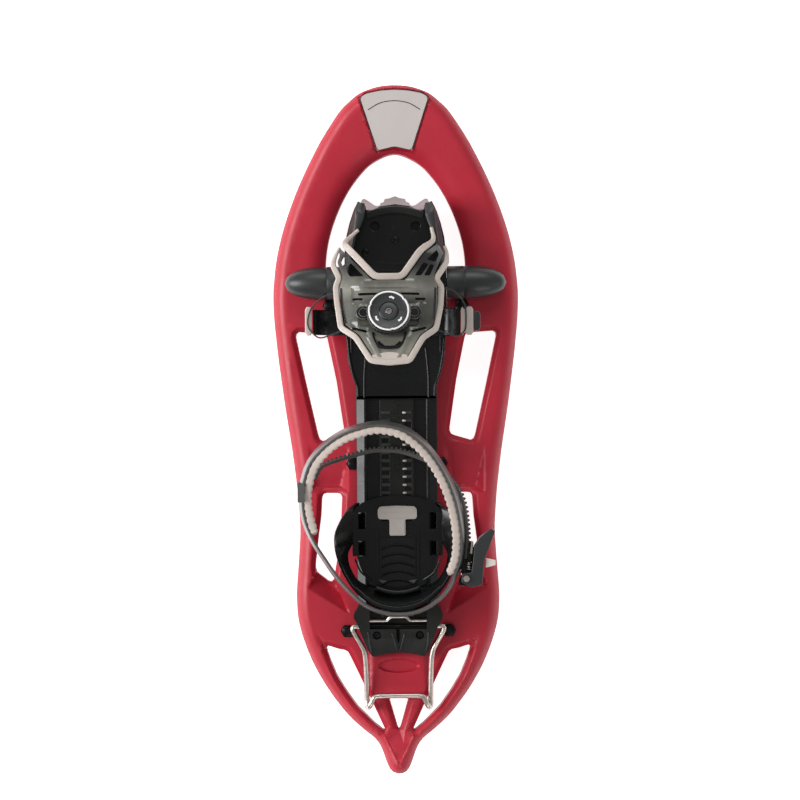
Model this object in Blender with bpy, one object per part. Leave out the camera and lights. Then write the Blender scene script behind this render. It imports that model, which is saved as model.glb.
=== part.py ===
"""Snowshoe for the right foot: a moulded deck that carries a pivoting binding.

+X points right, +Y to the toe and +Z up. The spike tips stand on z = 0, and the origin lies below the
middle of the deck. Lengths below are in millimetres, and new_object turns them into metres.
"""

import math

import bmesh
import bpy
from mathutils import Vector
from mathutils.geometry import delaunay_2d_cdt

MM = 0.001
GAP = 0.3

# Deck
DECK_TOP = 42.0
SKIRT_BOTTOM = 16.0
SKIRT_WIDTH = 3.0
SKIN = 3.0
NOSE_TIP = 292.0
TAIL_TIP = -292.0
RIM_CHAMFER = 9.0
RIM_DROP = 9.0
WINDOW_SLOPE = 4.0
WINDOW_DROP = 4.0
PLATE_RECESS = 1.5

# Binding pivot: an axle along X through both pods and the plate
PIVOT_Y = 125.6
PIVOT_Z = 53.0
AXLE_RADIUS = 4.0
POD_RADIUS = 14.0
POD_INNER = 43.5
POD_OUTER = 94.3

# Spikes and their nuts (x, y)
SPIKES = ((56.6, 107.0), (37.6, -28.0), (43.4, -170.6))
SPIKE_SHANK = 2.8
SPIKE_BOSS = 8.0
BOSS_FACE = 34.6

# Binding plate
PLATE_TOP = 62.0
PLATE_BOTTOM = 50.0
RAIL_TOP = 60.0
CHANNEL_FLOOR = 56.0
TAIL_END = -158.8
NOTCH_PITCH = 6.8
FIRST_NOTCH = -69.5
NOTCHES = 12
CRAMPON_PLATE = 2.5

# Harness and its dial
HARNESS_X = -5.5
HARNESS_Z = 128.0
HARNESS_TILT = math.radians(14)
TIP_START = 146.0
TIP_LENGTH = 21.0
TIP_Z = 92.5
DIAL = (-5.6, 95.6)

# Heel
CUP_FLOOR = 60.6
CUP_TOP = 64.0
LOCK_HINGE = (-88.5, 66.0)
BAIL = (-166.2, 56.0)
BAIL_RADIUS = 2.2
LATCH = (-161.0, 58.0)
BUCKLE_PIN = (57.1, -123.0)
TAB_PIN = (70.4, -110.5)
STRAP_REAR_Z = 89.0
STRAP_SLOPE = 0.2
LADDER_Z = 91.5

MATERIALS = {
    "deck_red": ((0.45, 0.022, 0.042), 0.38, 0.0),
    "black_plastic": ((0.012, 0.013, 0.014), 0.35, 0.0),
    "charcoal_plastic": ((0.055, 0.058, 0.06), 0.45, 0.0),
    "harness_grey": ((0.14, 0.14, 0.115), 0.35, 0.0),
    "beige_rubber": ((0.56, 0.5, 0.44), 0.6, 0.0),
    "pad_beige": ((0.55, 0.5, 0.45), 0.8, 0.0),
    "strap_grey": ((0.1, 0.1, 0.095), 0.5, 0.0),
    "lock_grey": ((0.36, 0.35, 0.33), 0.45, 0.0),
    "label_silver": ((0.62, 0.58, 0.56), 0.4, 0.2),
    "dial_white": ((0.75, 0.75, 0.73), 0.4, 0.0),
    "steel": ((0.42, 0.4, 0.4), 0.35, 1.0),
    "chrome": ((0.75, 0.74, 0.72), 0.15, 1.0),
    "dark_steel": ((0.06, 0.06, 0.06), 0.4, 1.0),
    "lace_black": ((0.02, 0.02, 0.02), 0.7, 0.0),
}


# ---------------------------------------------------------------- objects and materials


def clear_scene():
    for obj in list(bpy.data.objects):
        bpy.data.objects.remove(obj)


def material(name):
    if name in bpy.data.materials:
        return bpy.data.materials[name]
    color, roughness, metallic = MATERIALS[name]
    made = bpy.data.materials.new(name)
    made.use_nodes = True
    shader = made.node_tree.nodes["Principled BSDF"]
    shader.inputs["Base Color"].default_value = (*color, 1.0)
    shader.inputs["Roughness"].default_value = roughness
    shader.inputs["Metallic"].default_value = metallic
    return made


def new_object(name, points, faces, finish):
    """A closed mesh object from points in millimetres, with its faces turned outwards."""
    mesh = bpy.data.meshes.new(name)
    mesh.from_pydata([Vector(point) * MM for point in points], [], faces)
    shape = bmesh.new()
    shape.from_mesh(mesh)
    bmesh.ops.recalc_face_normals(shape, faces=shape.faces)
    shape.to_mesh(mesh)
    shape.free()
    mesh.materials.append(material(finish))
    obj = bpy.data.objects.new(name, mesh)
    bpy.context.scene.collection.objects.link(obj)
    return obj


def combine(target, tools, operation):
    """Boolean each tool into the target, and removes the tools."""
    for tool in tools:
        modifier = target.modifiers.new(operation, "BOOLEAN")
        modifier.operation = operation
        modifier.object = tool
        bpy.context.view_layer.update()
        result = target.evaluated_get(bpy.context.evaluated_depsgraph_get())
        mesh = bpy.data.meshes.new_from_object(result)
        target.modifiers.clear()
        target.data = mesh
        bpy.data.objects.remove(tool)
    return target


def union(target, *tools):
    return combine(target, tools, "UNION")


def cut(target, *tools):
    return combine(target, tools, "DIFFERENCE")


def smooth(obj, angle=35.0):
    obj.data.shade_smooth()
    obj.data.set_sharp_from_angle(angle=math.radians(angle))
    return obj


def on_joint(name, axis_point, pieces):
    """Parents the pieces to an empty that stands on their joint's axis."""
    empty = bpy.data.objects.new(name, None)
    bpy.context.scene.collection.objects.link(empty)
    empty.location = Vector(axis_point) * MM
    for piece in pieces:
        piece.parent = empty
        piece.location = -empty.location
    return empty


# ---------------------------------------------------------------- curves and outlines


def curve_through(points, steps, closed=False):
    """Catmull-Rom curve through the points, with this many steps in each span."""
    points = [Vector(point) for point in points]
    count = len(points)
    spans = count if closed else count - 1
    result = []
    for index in range(spans):
        if closed:
            a, b, c, d = (points[(index + shift) % count] for shift in (-1, 0, 1, 2))
        else:
            b, c = points[index], points[index + 1]
            a = points[index - 1] if index else b * 2 - c
            d = points[index + 2] if index + 2 < count else c * 2 - b
        for step in range(steps):
            t = step / steps
            result.append(
                b + (c - a) * (t / 2) + (a * 2 - b * 5 + c * 4 - d) * (t * t / 2)
                + (b * 3 - a - c * 3 + d) * (t**3 / 2)
            )
    if not closed:
        result.append(points[-1])
    return result


def mirrored(points):
    """Outline from the right half's points, which run from the middle line round to the middle line."""
    left = [(-x, y) for x, y in reversed(points) if abs(x) > 1e-6]
    return list(points) + left


def flipped(points):
    return [(-x, y) for x, y in points]


def circle(x, y, radius, sides):
    turn = 2 * math.pi / sides
    return [(x + radius * math.cos(turn * i), y + radius * math.sin(turn * i)) for i in range(sides)]


def oriented(loop, anticlockwise):
    area = sum(a[0] * b[1] - b[0] * a[1] for a, b in zip(loop, loop[1:] + loop[:1]))
    return list(loop) if (area > 0) == anticlockwise else list(reversed(loop))


def inside(loops, x, y):
    """Even-odd test against all loops, so that a hole's inside counts as outside."""
    hit = False
    for loop in loops:
        for a, b in zip(loop, loop[1:] + loop[:1]):
            if (a[1] > y) != (b[1] > y) and x < (b[0] - a[0]) * (y - a[1]) / (b[1] - a[1]) + a[0]:
                hit = not hit
    return hit


def edge_distance(loop, x, y):
    """Distance from a point to the nearest edge of a loop."""
    best = 1e9
    for a, b in zip(loop, loop[1:] + loop[:1]):
        dx, dy = b[0] - a[0], b[1] - a[1]
        t = ((x - a[0]) * dx + (y - a[1]) * dy) / (dx * dx + dy * dy)
        t = min(1.0, max(0.0, t))
        best = min(best, math.hypot(a[0] + dx * t - x, a[1] + dy * t - y))
    return best


def inset_chains(loop, loops, depth, least_width=0.0):
    """Runs of points this deep inside a loop's edge, leaving out those too near to another edge."""
    chains = []
    chain = []
    count = len(loop)
    for index in range(count + 1):
        before, here, after = (loop[(index + shift) % count] for shift in (-1, 0, 1))
        along = Vector((after[0] - before[0], after[1] - before[1])).normalized()
        spot = (here[0] - along.y * depth, here[1] + along.x * depth)
        far = (here[0] - along.y * least_width / 2, here[1] + along.x * least_width / 2)
        clear = min(edge_distance(other, *spot) for other in loops) > depth - 0.25
        wide = min(edge_distance(other, *far) for other in loops) > least_width / 2 - 0.5
        if clear and (wide or not least_width):
            chain.append(spot)
        elif chain:
            chains.append(chain)
            chain = []
    if chain:
        chains.append(chain)
    return chains


# ---------------------------------------------------------------- solids


def triangulated(loops, chains, points):
    """Points and triangles of the area on the left of every loop, with the chains as edges."""
    spots = []
    edges = []
    for loop in loops:
        start = len(spots)
        spots += [Vector(point) for point in loop]
        edges += [(start + i, start + (i + 1) % len(loop)) for i in range(len(loop))]
    for chain in chains:
        start = len(spots)
        spots += [Vector(point) for point in chain]
        edges += [(start + i, start + i + 1) for i in range(len(chain) - 1)]
    spots += [Vector(point) for point in points]
    flat, _, triangles, origins, _, _ = delaunay_2d_cdt(spots, edges, [], 0, 1e-5)
    place = {old: new for new, olds in enumerate(origins) for old in olds}
    border = {(place[a], place[b]) for a, b in edges[:sum(len(loop) for loop in loops)]}
    owner = {}
    for triangle in triangles:
        for corner in range(3):
            owner[triangle[corner], triangle[(corner + 1) % 3]] = triangle
    kept = set()
    waiting = [tuple(owner[edge]) for edge in border]
    while waiting:
        triangle = waiting.pop()
        if triangle in kept:
            continue
        kept.add(triangle)
        for corner in range(3):
            a, b = triangle[corner], triangle[(corner + 1) % 3]
            if (a, b) not in border and (b, a) not in border:
                waiting.append(tuple(owner[b, a]))
    return flat, sorted(kept), place


def height_solid(name, finish, outline, holes, top, bottom, top_lines=(), bottom_lines=(), points=(),
                 axes=lambda u, v, w: (u, v, w)):
    """Solid between two height functions over an outline with holes."""
    loops = [oriented([tuple(p) for p in outline], True)]
    loops += [oriented([tuple(p) for p in hole], False) for hole in holes]
    verts = []
    faces = []
    layers = []
    for height, lines, turn in ((top, top_lines, 1), (bottom, bottom_lines, -1)):
        flat, triangles, place = triangulated(loops, lines, points)
        start = len(verts)
        verts += [axes(p.x, p.y, height(p.x, p.y)) for p in flat]
        faces += [tuple(start + i for i in triangle[::turn]) for triangle in triangles]
        layers.append((start, place))
    (top_start, top_place), (low_start, low_place) = layers
    first = 0
    for loop in loops:
        for i in range(len(loop)):
            a, b = first + i, first + (i + 1) % len(loop)
            faces.append((low_start + low_place[a], low_start + low_place[b],
                          top_start + top_place[b], top_start + top_place[a]))
        first += len(loop)
    used = sorted({i for face in faces for i in face})
    number = {old: new for new, old in enumerate(used)}
    return new_object(name, [verts[i] for i in used], [[number[i] for i in face] for face in faces], finish)


def prism(name, finish, outline, low, high, holes=(), axes=lambda u, v, w: (u, v, w)):
    return height_solid(name, finish, outline, holes, lambda x, y: high, lambda x, y: low, axes=axes)


def box(name, finish, x, y, z):
    outline = [(x[0], y[0]), (x[1], y[0]), (x[1], y[1]), (x[0], y[1])]
    return prism(name, finish, outline, z[0], z[1])


def turned(name, finish, profile, sides, place, ring=False, flute=None):
    """Turns a profile of (radius, height); place maps a point of its own frame into the part's frame."""
    verts = []
    rows = []
    for radius, height in profile:
        if radius < 1e-6:
            rows.append([len(verts)] * sides)
            verts.append(place(0.0, 0.0, height))
            continue
        rows.append(list(range(len(verts), len(verts) + sides)))
        for side in range(sides):
            angle = 2 * math.pi * side / sides
            reach = flute(side, radius) if flute else radius
            verts.append(place(reach * math.cos(angle), reach * math.sin(angle), height))
    faces = []
    pairs = list(zip(rows, rows[1:]))
    if ring:
        pairs.append((rows[-1], rows[0]))
    for lower, upper in pairs:
        for side in range(sides):
            after = (side + 1) % sides
            corners = [lower[side], lower[after], upper[after], upper[side]]
            face = [c for i, c in enumerate(corners) if c != corners[i - 1]]
            if len(face) > 2:
                faces.append(face)
    return smooth(new_object(name, verts, faces, finish))


def along_x(x, y, z, turn=1):
    """Frame whose own +Z runs along X, for pins and bullets that lie across the shoe."""
    return lambda u, v, w: (x + turn * w, y + u, z + turn * v)


def upright(x, y, z):
    return lambda u, v, w: (x + u, y + v, z + w)


def lofted(name, finish, sections, closed=False):
    """Skins a run of sections that have the same number of corners."""
    size = len(sections[0])
    verts = [corner for section in sections for corner in section]
    faces = []
    last = len(sections) if closed else len(sections) - 1
    for index in range(last):
        here = index * size
        there = (index + 1) % len(sections) * size
        for corner in range(size):
            after = (corner + 1) % size
            faces.append((here + corner, here + after, there + after, there + corner))
    if not closed:
        faces.append(tuple(range(size)))
        faces.append(tuple(range(len(verts) - size, len(verts))))
    return new_object(name, verts, faces, finish)


def swept(name, finish, path, section, up=Vector((0, 0, 1)), closed=False):
    """Sweeps a section of (side, up) corners along a path, keeping its up near the given one."""
    path = [Vector(point) for point in path]
    count = len(path)
    sections = []
    for index, point in enumerate(path):
        before = path[index - 1] if closed or index else path[0]
        after = path[(index + 1) % count] if closed or index < count - 1 else path[-1]
        along = (after - before).normalized()
        side = along.cross(up).normalized()
        rise = side.cross(along)
        sections.append([point + side * a + rise * b for a, b in section])
    return lofted(name, finish, sections, closed)


def round_section(radius, sides=8):
    return circle(0.0, 0.0, radius, sides)


def flat_section(width, height):
    x, z = width / 2, height / 2
    return [(-x, -z), (x, -z), (x, z), (-x, z)]


def screw(name, finish, x, y, head_bottom, radius, head, shank, depth):
    """Screw with a low round head and a plain shank below it."""
    profile = [(0, -depth), (shank, -depth), (shank, 0), (radius, 0), (radius, head * 0.6),
               (radius * 0.75, head), (0, head)]
    return turned(name, finish, profile, 12, upright(x, y, head_bottom))


# ---------------------------------------------------------------- deck


def deck_outline():
    right = [
        (0, 292), (14, 290.9), (29.5, 285.7), (37.5, 279.1), (45.2, 272.4), (54.6, 259.1), (63.1, 246),
        (73.8, 226.1), (83.2, 206.4), (91.3, 186), (97.7, 166), (102.4, 145), (105.1, 118), (104.3, 95),
        (101, 63), (95.6, 22), (89.2, -19), (85.2, -52), (83, -84), (84.7, -110), (87.1, -141),
        (85.8, -162), (80.1, -182), (71.3, -202.9), (59.7, -222.3), (44, -242.6), (29.9, -255.2),
        (20.5, -262), (15.4, -268.8), (10.7, -282.3), (7.8, -288.6), (4, -291.4), (0, -292),
    ]
    return mirrored(right)


def nose_opening():
    right = [
        (0, 235.8), (9, 233.6), (22.6, 226.1), (34.5, 212.6), (42.7, 200), (49.5, 186), (54.6, 172),
        (58, 159), (59.7, 145), (60, 131), (60, 126), (43.6, 126), (43.6, 84),
    ]
    return mirrored(right)


def side_windows():
    """Front, middle and rear window of the right side."""
    front = [
        (60.5, 83.5), (84.5, 85), (86, 82), (77.7, 43), (67.2, -4), (65, -9), (46.5, -3.5),
        (44.9, 0.5), (51.2, 43), (58.8, 80),
    ]
    middle = [
        (47, -55), (49, -53), (62.5, -53), (64.3, -56), (65.3, -73), (68, -94), (70.5, -116),
        (69.5, -121), (58, -130), (55, -128.5), (51, -105), (48, -75),
    ]
    rear = [
        (44, -187.5), (52, -186), (60.5, -183), (61.8, -186), (58.4, -196), (52.5, -210),
        (44.8, -222.3), (35, -235.8), (21, -249.4), (12.5, -256.2), (11.6, -255), (14.7, -248.5),
        (27, -222), (36, -203), (42.3, -190),
    ]
    return [front, middle, rear]


def tail_window():
    return [(-8.5, -228.2), (8.5, -228.2), (0.6, -255.2), (-0.6, -255.2)]


def rise(y, nose, tail):
    """How far the upturned nose and tail lift a level of the deck."""
    if y > 140:
        return nose * ((y - 140) / (NOSE_TIP - 140)) ** 1.7
    if y < -200:
        return tail * ((-200 - y) / (-200 - TAIL_TIP)) ** 1.6
    return 0.0


def dish(x, y):
    """The shallow dish in each bridge beside the middle of the plate."""
    across = (abs(x) - 58) / 18
    along = (y + 31) / 20
    if abs(across) >= 1 or abs(along) >= 1:
        return 0.0
    return 7.0 * (1 - across**2) ** 2 * (1 - along**2) ** 2


class DeckShape:
    """Top and underside heights of the deck over its outline, windows and spike holes."""

    def __init__(self):
        self.outline = oriented(deck_outline(), True)
        windows = side_windows()
        windows += [flipped(window) for window in windows]
        windows += [nose_opening(), tail_window()]
        self.windows = [oriented([tuple(p) for p in window], False) for window in windows]
        self.spikes = [(side * x, y) for side in (1, -1) for x, y in SPIKES]
        self.holes = [oriented(circle(x, y, SPIKE_SHANK + GAP, 10), False) for x, y in self.spikes]

    def plate_recess(self, grow):
        return [(-30 - grow, 281), (-24, 285.3 + grow), (-12, 287.6 + grow), (0, 288.4 + grow),
                (12, 287.6 + grow), (24, 285.3 + grow), (30 + grow, 281),
                (15.4 + grow, 236.4 - grow), (0, 239.8 - grow), (-15.4 - grow, 236.4 - grow)]

    def body_top(self, y):
        return DECK_TOP + rise(y, 38, 18)

    def top(self, x, y):
        rim = edge_distance(self.outline, x, y)
        gap = min(edge_distance(window, x, y) for window in self.windows)
        height = self.body_top(y) - dish(x, y)
        height -= RIM_DROP * max(0.0, 1 - rim / RIM_CHAMFER) ** 1.6
        height -= WINDOW_DROP * max(0.0, 1 - gap / WINDOW_SLOPE) ** 1.5
        if inside([self.plate_recess(0.6)], x, y):
            height -= PLATE_RECESS
        return height

    def bottom(self, x, y):
        if min(math.hypot(x - a, y - b) for a, b in self.spikes) < SPIKE_BOSS + 0.2:
            return BOSS_FACE
        edge = min(edge_distance(loop, x, y) for loop in [self.outline, *self.windows])
        if edge < SKIRT_WIDTH + 0.3:
            return SKIRT_BOTTOM + rise(y, 44, 27)
        return self.top(x, y) - SKIN


def make_deck(shape):
    loops = [shape.outline, *shape.windows]
    top_lines = []
    bottom_lines = []
    for loop in loops:
        rim = loop is shape.outline
        top_lines += inset_chains(loop, loops, 3.0)
        top_lines += inset_chains(loop, loops, RIM_CHAMFER if rim else WINDOW_SLOPE)
        wide = inset_chains(loop, loops, SKIRT_WIDTH + 0.8, 16.0)
        bottom_lines += inset_chains(loop, loops, SKIRT_WIDTH)
        bottom_lines += wide
        bottom_lines += inset_chains(loop, loops, RIM_CHAMFER, 16.0)
    for recess in (shape.plate_recess(0.2), shape.plate_recess(1.0)):
        top_lines.append(recess + recess[:1])
    for x, y in shape.spikes:
        for radius in (SPIKE_BOSS, SPIKE_BOSS + 0.6):
            ring = circle(x, y, radius, 10)
            bottom_lines.append(ring + ring[:1])
    bridge = [(side * x, y) for side in (1, -1) for x in (46, 58, 70) for y in (-42, -31, -20)]
    nose = [(x, y) for y in (252, 262, 273) for x in (-12, 0, 12)]
    return height_solid("deck", "deck_red", shape.outline, shape.windows + shape.holes, shape.top,
                        shape.bottom, top_lines, bottom_lines, bridge + nose)


def make_nameplate(shape):
    low = PLATE_RECESS - 0.6
    points = [(x, y) for y in (250, 262, 273) for x in (-12, 0, 12)]
    return height_solid("nameplate", "label_silver", shape.plate_recess(-0.6), [],
                        lambda x, y: shape.body_top(y) + 0.4,
                        lambda x, y: shape.body_top(y) - low, points=points)


def make_pod(name, side):
    """Bullet-shaped axle housing with a blind bore, and a flat foot on the deck."""
    round_from = 62.0
    reach = POD_OUTER - round_from
    profile = [(0, 62.5), (AXLE_RADIUS + GAP, 62.5), (AXLE_RADIUS + GAP, POD_INNER),
               (POD_RADIUS - 1, POD_INNER), (POD_RADIUS, POD_INNER + 1)]
    for step in range(7):
        t = step / 7
        profile.append((POD_RADIUS * math.sqrt(1 - t * t), round_from + reach * t))
    profile += [(POD_RADIUS * 0.28, POD_OUTER - 1), (0, POD_OUTER)]
    pod = turned(name, "charcoal_plastic", profile, 20, along_x(0, PIVOT_Y, PIVOT_Z, side))
    foot = DECK_TOP + GAP
    below = box("cut", "steel", (-110, 110), (PIVOT_Y - 20, PIVOT_Y + 20), (foot - 20, foot))
    return smooth(cut(pod, below))


def make_axle():
    end = 61.5
    profile = [(0, -end), (3.2, -end), (AXLE_RADIUS, 1 - end), (AXLE_RADIUS, end - 1), (3.2, end), (0, end)]
    return turned("pivot_axle", "steel", profile, 16, along_x(0, PIVOT_Y, PIVOT_Z))


def make_spike(name, x, y):
    profile = [(0, 0), (1.2, 0.6), (4.6, 15), (6.6, 16), (6.6, 30), (7.4, 32), (7.4, BOSS_FACE - GAP),
               (SPIKE_SHANK, BOSS_FACE - GAP), (SPIKE_SHANK, 46.5), (0, 46.5)]
    return turned(name, "steel", profile, 10, upright(x, y, 0))


def make_nut(name, x, y):
    bore = SPIKE_SHANK + GAP
    low = DECK_TOP + GAP
    profile = [(bore, 0), (5.8, 0), (5.8, 2.8), (5.0, 3.6), (bore, 3.6)]
    return turned(name, "dark_steel", profile, 10, upright(x, y, low), ring=True)


def make_heel_block():
    """Rest under the heel: two pillars, a well for the latch rod, and a sloping rear with a V groove."""
    half = [(24.2, -148), (33.4, -148), (37.6, -155), (37.8, -158.5), (34.0, -165.2), (26.3, -186),
            (22, -192.2), (10, -189.4), (0, -188.3)]
    left = [(-x, y) for x, y in reversed(half[:-1])]
    well = [(-24.2, -168), (24.2, -168)]
    block = prism("heel_block", "charcoal_plastic", half + left + well, 42.3, 61.6)
    floor = prism("floor", "charcoal_plastic", [(-26, -152), (26, -152), (26, -170), (-26, -170)], 42.3, 51.4)
    slope = prism("slope", "steel", [(-194, 50), (-194, 64), (-176, 64), (-176, 61.6)], -40, 40,
                  axes=lambda u, v, w: (w, u, v))
    groove = prism("groove", "steel", [(-3.4, 64), (3.4, 64), (0, 58.2)], -196, -166,
                   axes=lambda u, v, w: (u, w, v))
    bore = [(0, -70), (BAIL_RADIUS + GAP, -70), (BAIL_RADIUS + GAP, -31.6), (0, -31.6)]
    bores = [turned("bore", "steel", bore, 12, along_x(0, *BAIL, side)) for side in (1, -1)]
    rod = [turned("rod", "steel", [(0, -27.3), (1.7, -27.3), (1.7, 27.3), (0, 27.3)], 12,
                  along_x(0, y, LATCH[1])) for y in (LATCH[0], LATCH[0] - 4)]
    screws = [turned("hole", "steel", [(0, -1), (1.9, -1), (1.9, 12), (3.6, 12), (3.6, 30), (0, 30)], 12,
                     upright(side * 18.2, -173.3, 46)) for side in (1, -1)]
    return cut(union(block, floor), slope, groove, *bores, *rod, *screws)


def make_bail():
    """Heel-lift wire: two legs from the block's sides to a cross bar that turns back between them."""
    y, z = BAIL
    right = [(33.2, y, z), (37.2, y, z), (38.6, y - 1.6, z), (37.4, y - 5, z - 0.3), (30.6, -183.4, 53.4),
             (28.6, -190, 52.6), (27.7, -200, 51.5), (27.2, -216, 49.9), (27.1, -229, 48.6),
             (26.9, -233.6, 49.2), (25.8, -235, 51.2), (24, -232.5, 53.2), (21.6, -227.6, 53.6),
             (18.6, -225.6, 53.6), (9, -225.2, 53.6)]
    left = [(-x, b, c) for x, b, c in reversed(right)]
    return smooth(swept("heel_lift_bail", "chrome", right + left, round_section(BAIL_RADIUS)), 60)


def make_latch():
    """Spring rod across the well, with a cranked middle that sits in the plate's tail notch."""
    y, z = LATCH
    right = [(0, y + 3.2, z + 0.6), (5.6, y + 3.2, z + 0.6), (7.6, y + 2.2, z + 0.4), (9.2, y + 0.6, z + 0.1),
             (11.5, y, z), (26.6, y, z)]
    left = [(-x, b, c) for x, b, c in reversed(right[1:])]
    rod = smooth(swept("latch_rod", "chrome", left + right, round_section(1.3)), 60)
    bar = turned("latch_bar", "dark_steel", [(0, -26.6), (1.3, -26.6), (1.3, 26.6), (0, 26.6)], 8,
                 along_x(0, y - 4, z))
    return rod, bar


# ---------------------------------------------------------------- binding plate


def toe_wall(side):
    """Wall round one front corner of the toe, leaning inwards towards its top."""
    stations = [(42.3, 132, 66, 0.6, 2.4), (42.3, 144, 80, 2.4, 2.4), (41.7, 156, 88, 4.4, 2.8),
                (40.1, 168, 91, 5, 4), (37.4, 178, 91, 3.6, 7), (35.1, 186, 91, 2, 8.5),
                (31.4, 193.2, 87, 0.6, 6.5)]
    sections = []
    for index, (x, y, top, lean, thick) in enumerate(stations):
        before = Vector(stations[max(0, index - 1)][:2])
        after = Vector(stations[min(len(stations) - 1, index + 1)][:2])
        along = (after - before).normalized()
        inward = Vector((-along.y, along.x))
        outer, crest = (Vector((x, y)) + inward * reach for reach in (0, lean))
        inner, thin = (Vector((x, y)) + inward * (reach + thick) for reach in (1.2, lean))
        corners = [(*outer, 51), (*crest, top), (*thin, top), (*inner, 51)]
        sections.append([(side * a, b, c) for a, b, c in corners])
    return lofted("wall", "black_plastic", sections)


def screw_places():
    return [(0, 161.4), (25.3, 151.2), (-25.3, 151.2)]


def make_plate():
    """Binding plate: toe floor with hubs and walls, a railed beam to the heel, and a tail neck."""
    toe = [(0, 192), (12, 190.3), (20, 186.8), (24.2, 187.2), (25.8, 193), (31, 193.4), (35.4, 186),
           (38.8, 175.5), (41.6, 164),
           (42.6, 150), (42.6, 112), (42, 80), (41, 60), (38, 48), (34.3, 38), (34.3, 30), (0, 30)]
    holes = [circle(side * 17.3, 173.2, 3.9, 12) for side in (1, -1)]
    holes += [circle(x, y, 1.9, 8) for x, y in screw_places()]
    plate = prism("binding_plate", "black_plastic", mirrored(toe), PLATE_BOTTOM, PLATE_TOP, holes)
    rail = [(34.3, 50), (34.3, 55.4), (27.6, RAIL_TOP), (25.5, RAIL_TOP), (25.5, CHANNEL_FLOOR)]
    under = [(-28, 50), (-28, 53), (28, 53), (28, 50)]
    beam = rail + [(-x, z) for x, z in reversed(rail)] + under
    across = lambda u, v, w: (u, w, v)
    beam = prism("beam", "black_plastic", beam, -147.2, 34, axes=across)
    neck = [(0, -146), (14, -146), (14, TAIL_END), (8.8, TAIL_END), (8.2, -155.4), (0, -155.4)]
    neck = prism("neck", "black_plastic", mirrored(neck), 51.8, 57)
    hubs = [turned("hub", "black_plastic", [(0, 27), (9, 27), (9, 42.9), (0, 42.9)], 20,
                   along_x(0, PIVOT_Y, PIVOT_Z, side)) for side in (1, -1)]
    tabs = [box("tab", "black_plastic", (side * 19 - 3.6, side * 19 + 3.6), (26.6, 32), (55, 61))
            for side in (1, -1)]
    step = prism("step", "steel", [(-25.5, 25), (25.5, 25), (25.5, 58), (-25.5, 58)], 56, 70)
    seats = [box("seat", "steel", x, y, (61.4, 70)) for x, y in (((-50, -28.4), (80.4, 102.9)),
                                                                 ((22.4, 50), (79.4, 104.1)))]
    bore = turned("bore", "steel", [(0, -50), (AXLE_RADIUS + GAP, -50), (AXLE_RADIUS + GAP, 50), (0, 50)], 16,
                  along_x(0, PIVOT_Y, PIVOT_Z))
    union(plate, beam)
    cut(plate, step, *seats)
    union(plate, neck, toe_wall(1), toe_wall(-1), *hubs, *tabs)
    return smooth(cut(plate, bore))


def make_size_scale():
    holes = []
    for index in range(NOTCHES):
        y = FIRST_NOTCH + NOTCH_PITCH * index
        for side in (1, -1):
            x = side * 9.5
            holes.append([(x - 3, y - 1.7), (x + 3, y - 1.7), (x + 3, y + 1.7), (x - 3, y + 1.7)])
    outline = [(-14.3, -146), (14.3, -146), (14.3, 57.6), (-14.3, 57.6)]
    return prism("size_scale", "black_plastic", outline, CHANNEL_FLOOR + GAP, 58.5, holes)


def make_crampon():
    """Toe crampon: a base below the toe, a forward row of teeth and a toothed side on each edge."""
    base_low = PLATE_BOTTOM - GAP - CRAMPON_PLATE
    base_high = PLATE_BOTTOM - GAP
    base = mirrored([(0, 188), (30.5, 188), (30.5, 138), (0, 138)])
    holes = [circle(x, y, 1.9, 8) for x, y in screw_places()]
    crampon = prism("toe_crampon", "steel", base, base_low, base_high, holes)
    half = [(0, 0), (30.5, 0), (30.5, 12), (28.6, 34), (26.7, 37.6), (24.4, 34), (17.4, 17), (15, 15),
            (12.8, 18), (12.4, 24), (9.6, 27), (8.9, 36), (4.4, 38.5), (0, 44.8)]
    lean = Vector((0, 15.5, -41.9)).normalized()
    normal = Vector((0, 41.9, 15.5)).normalized()
    origin = Vector((0, 185.8, 48.9))
    front = prism("front", "steel", mirrored(half), -1.2, 1.2,
                  axes=lambda u, v, w: tuple(origin + Vector((u, 0, 0)) + lean * v + normal * w))
    side = [(138, 49), (187, 49), (187, 34), (184, 27), (178, 5), (172, 26), (166, 26), (160, 5), (154, 26),
            (150, 26), (145, 5), (139, 26)]
    sides = [prism("side", "steel", side, x - 1.2, x + 1.2, axes=lambda u, v, w: (w, u, v))
             for x in (-29.3, 29.3)]
    return union(crampon, front, *sides)


def arm_outline(path, thickness):
    """Closed outline of a strip of this thickness along a path."""
    half = thickness / 2
    left = []
    right = []
    for index, point in enumerate(path):
        before = path[max(0, index - 1)]
        after = path[min(len(path) - 1, index + 1)]
        along = (after - before).normalized()
        side = Vector((-along.y, along.x)) * half
        left.append(tuple(point + side))
        right.append(tuple(point - side))
    return left + right[::-1]


def make_side_arm(name, path, y_range):
    """Flexible arm that rises from the plate's edge, as a strip in the XZ plane."""
    strip = arm_outline(curve_through(path, 3), 2.8)
    return smooth(prism(name, "black_plastic", strip, *y_range, axes=lambda u, v, w: (u, w, v)))


def make_arms():
    left = [(-29, 63.8), (-42, 63.8), (-49, 65), (-57.6, 71), (-64.4, 79), (-68.2, 86.4)]
    left = make_side_arm("side_arm_left", left, (81, 102.3))
    hole = turned("hole", "steel", [(0, -20), (3.4, -20), (3.4, 20), (0, 20)], 12, along_x(-64, 91.7, 79))
    cut(left, hole)
    right = [(23, 63.8), (38, 63.8), (43, 65), (48, 69.6), (51.6, 76), (52.6, 83)]
    right = make_side_arm("side_arm_right", right, (80, 103.5))
    return left, right


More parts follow.
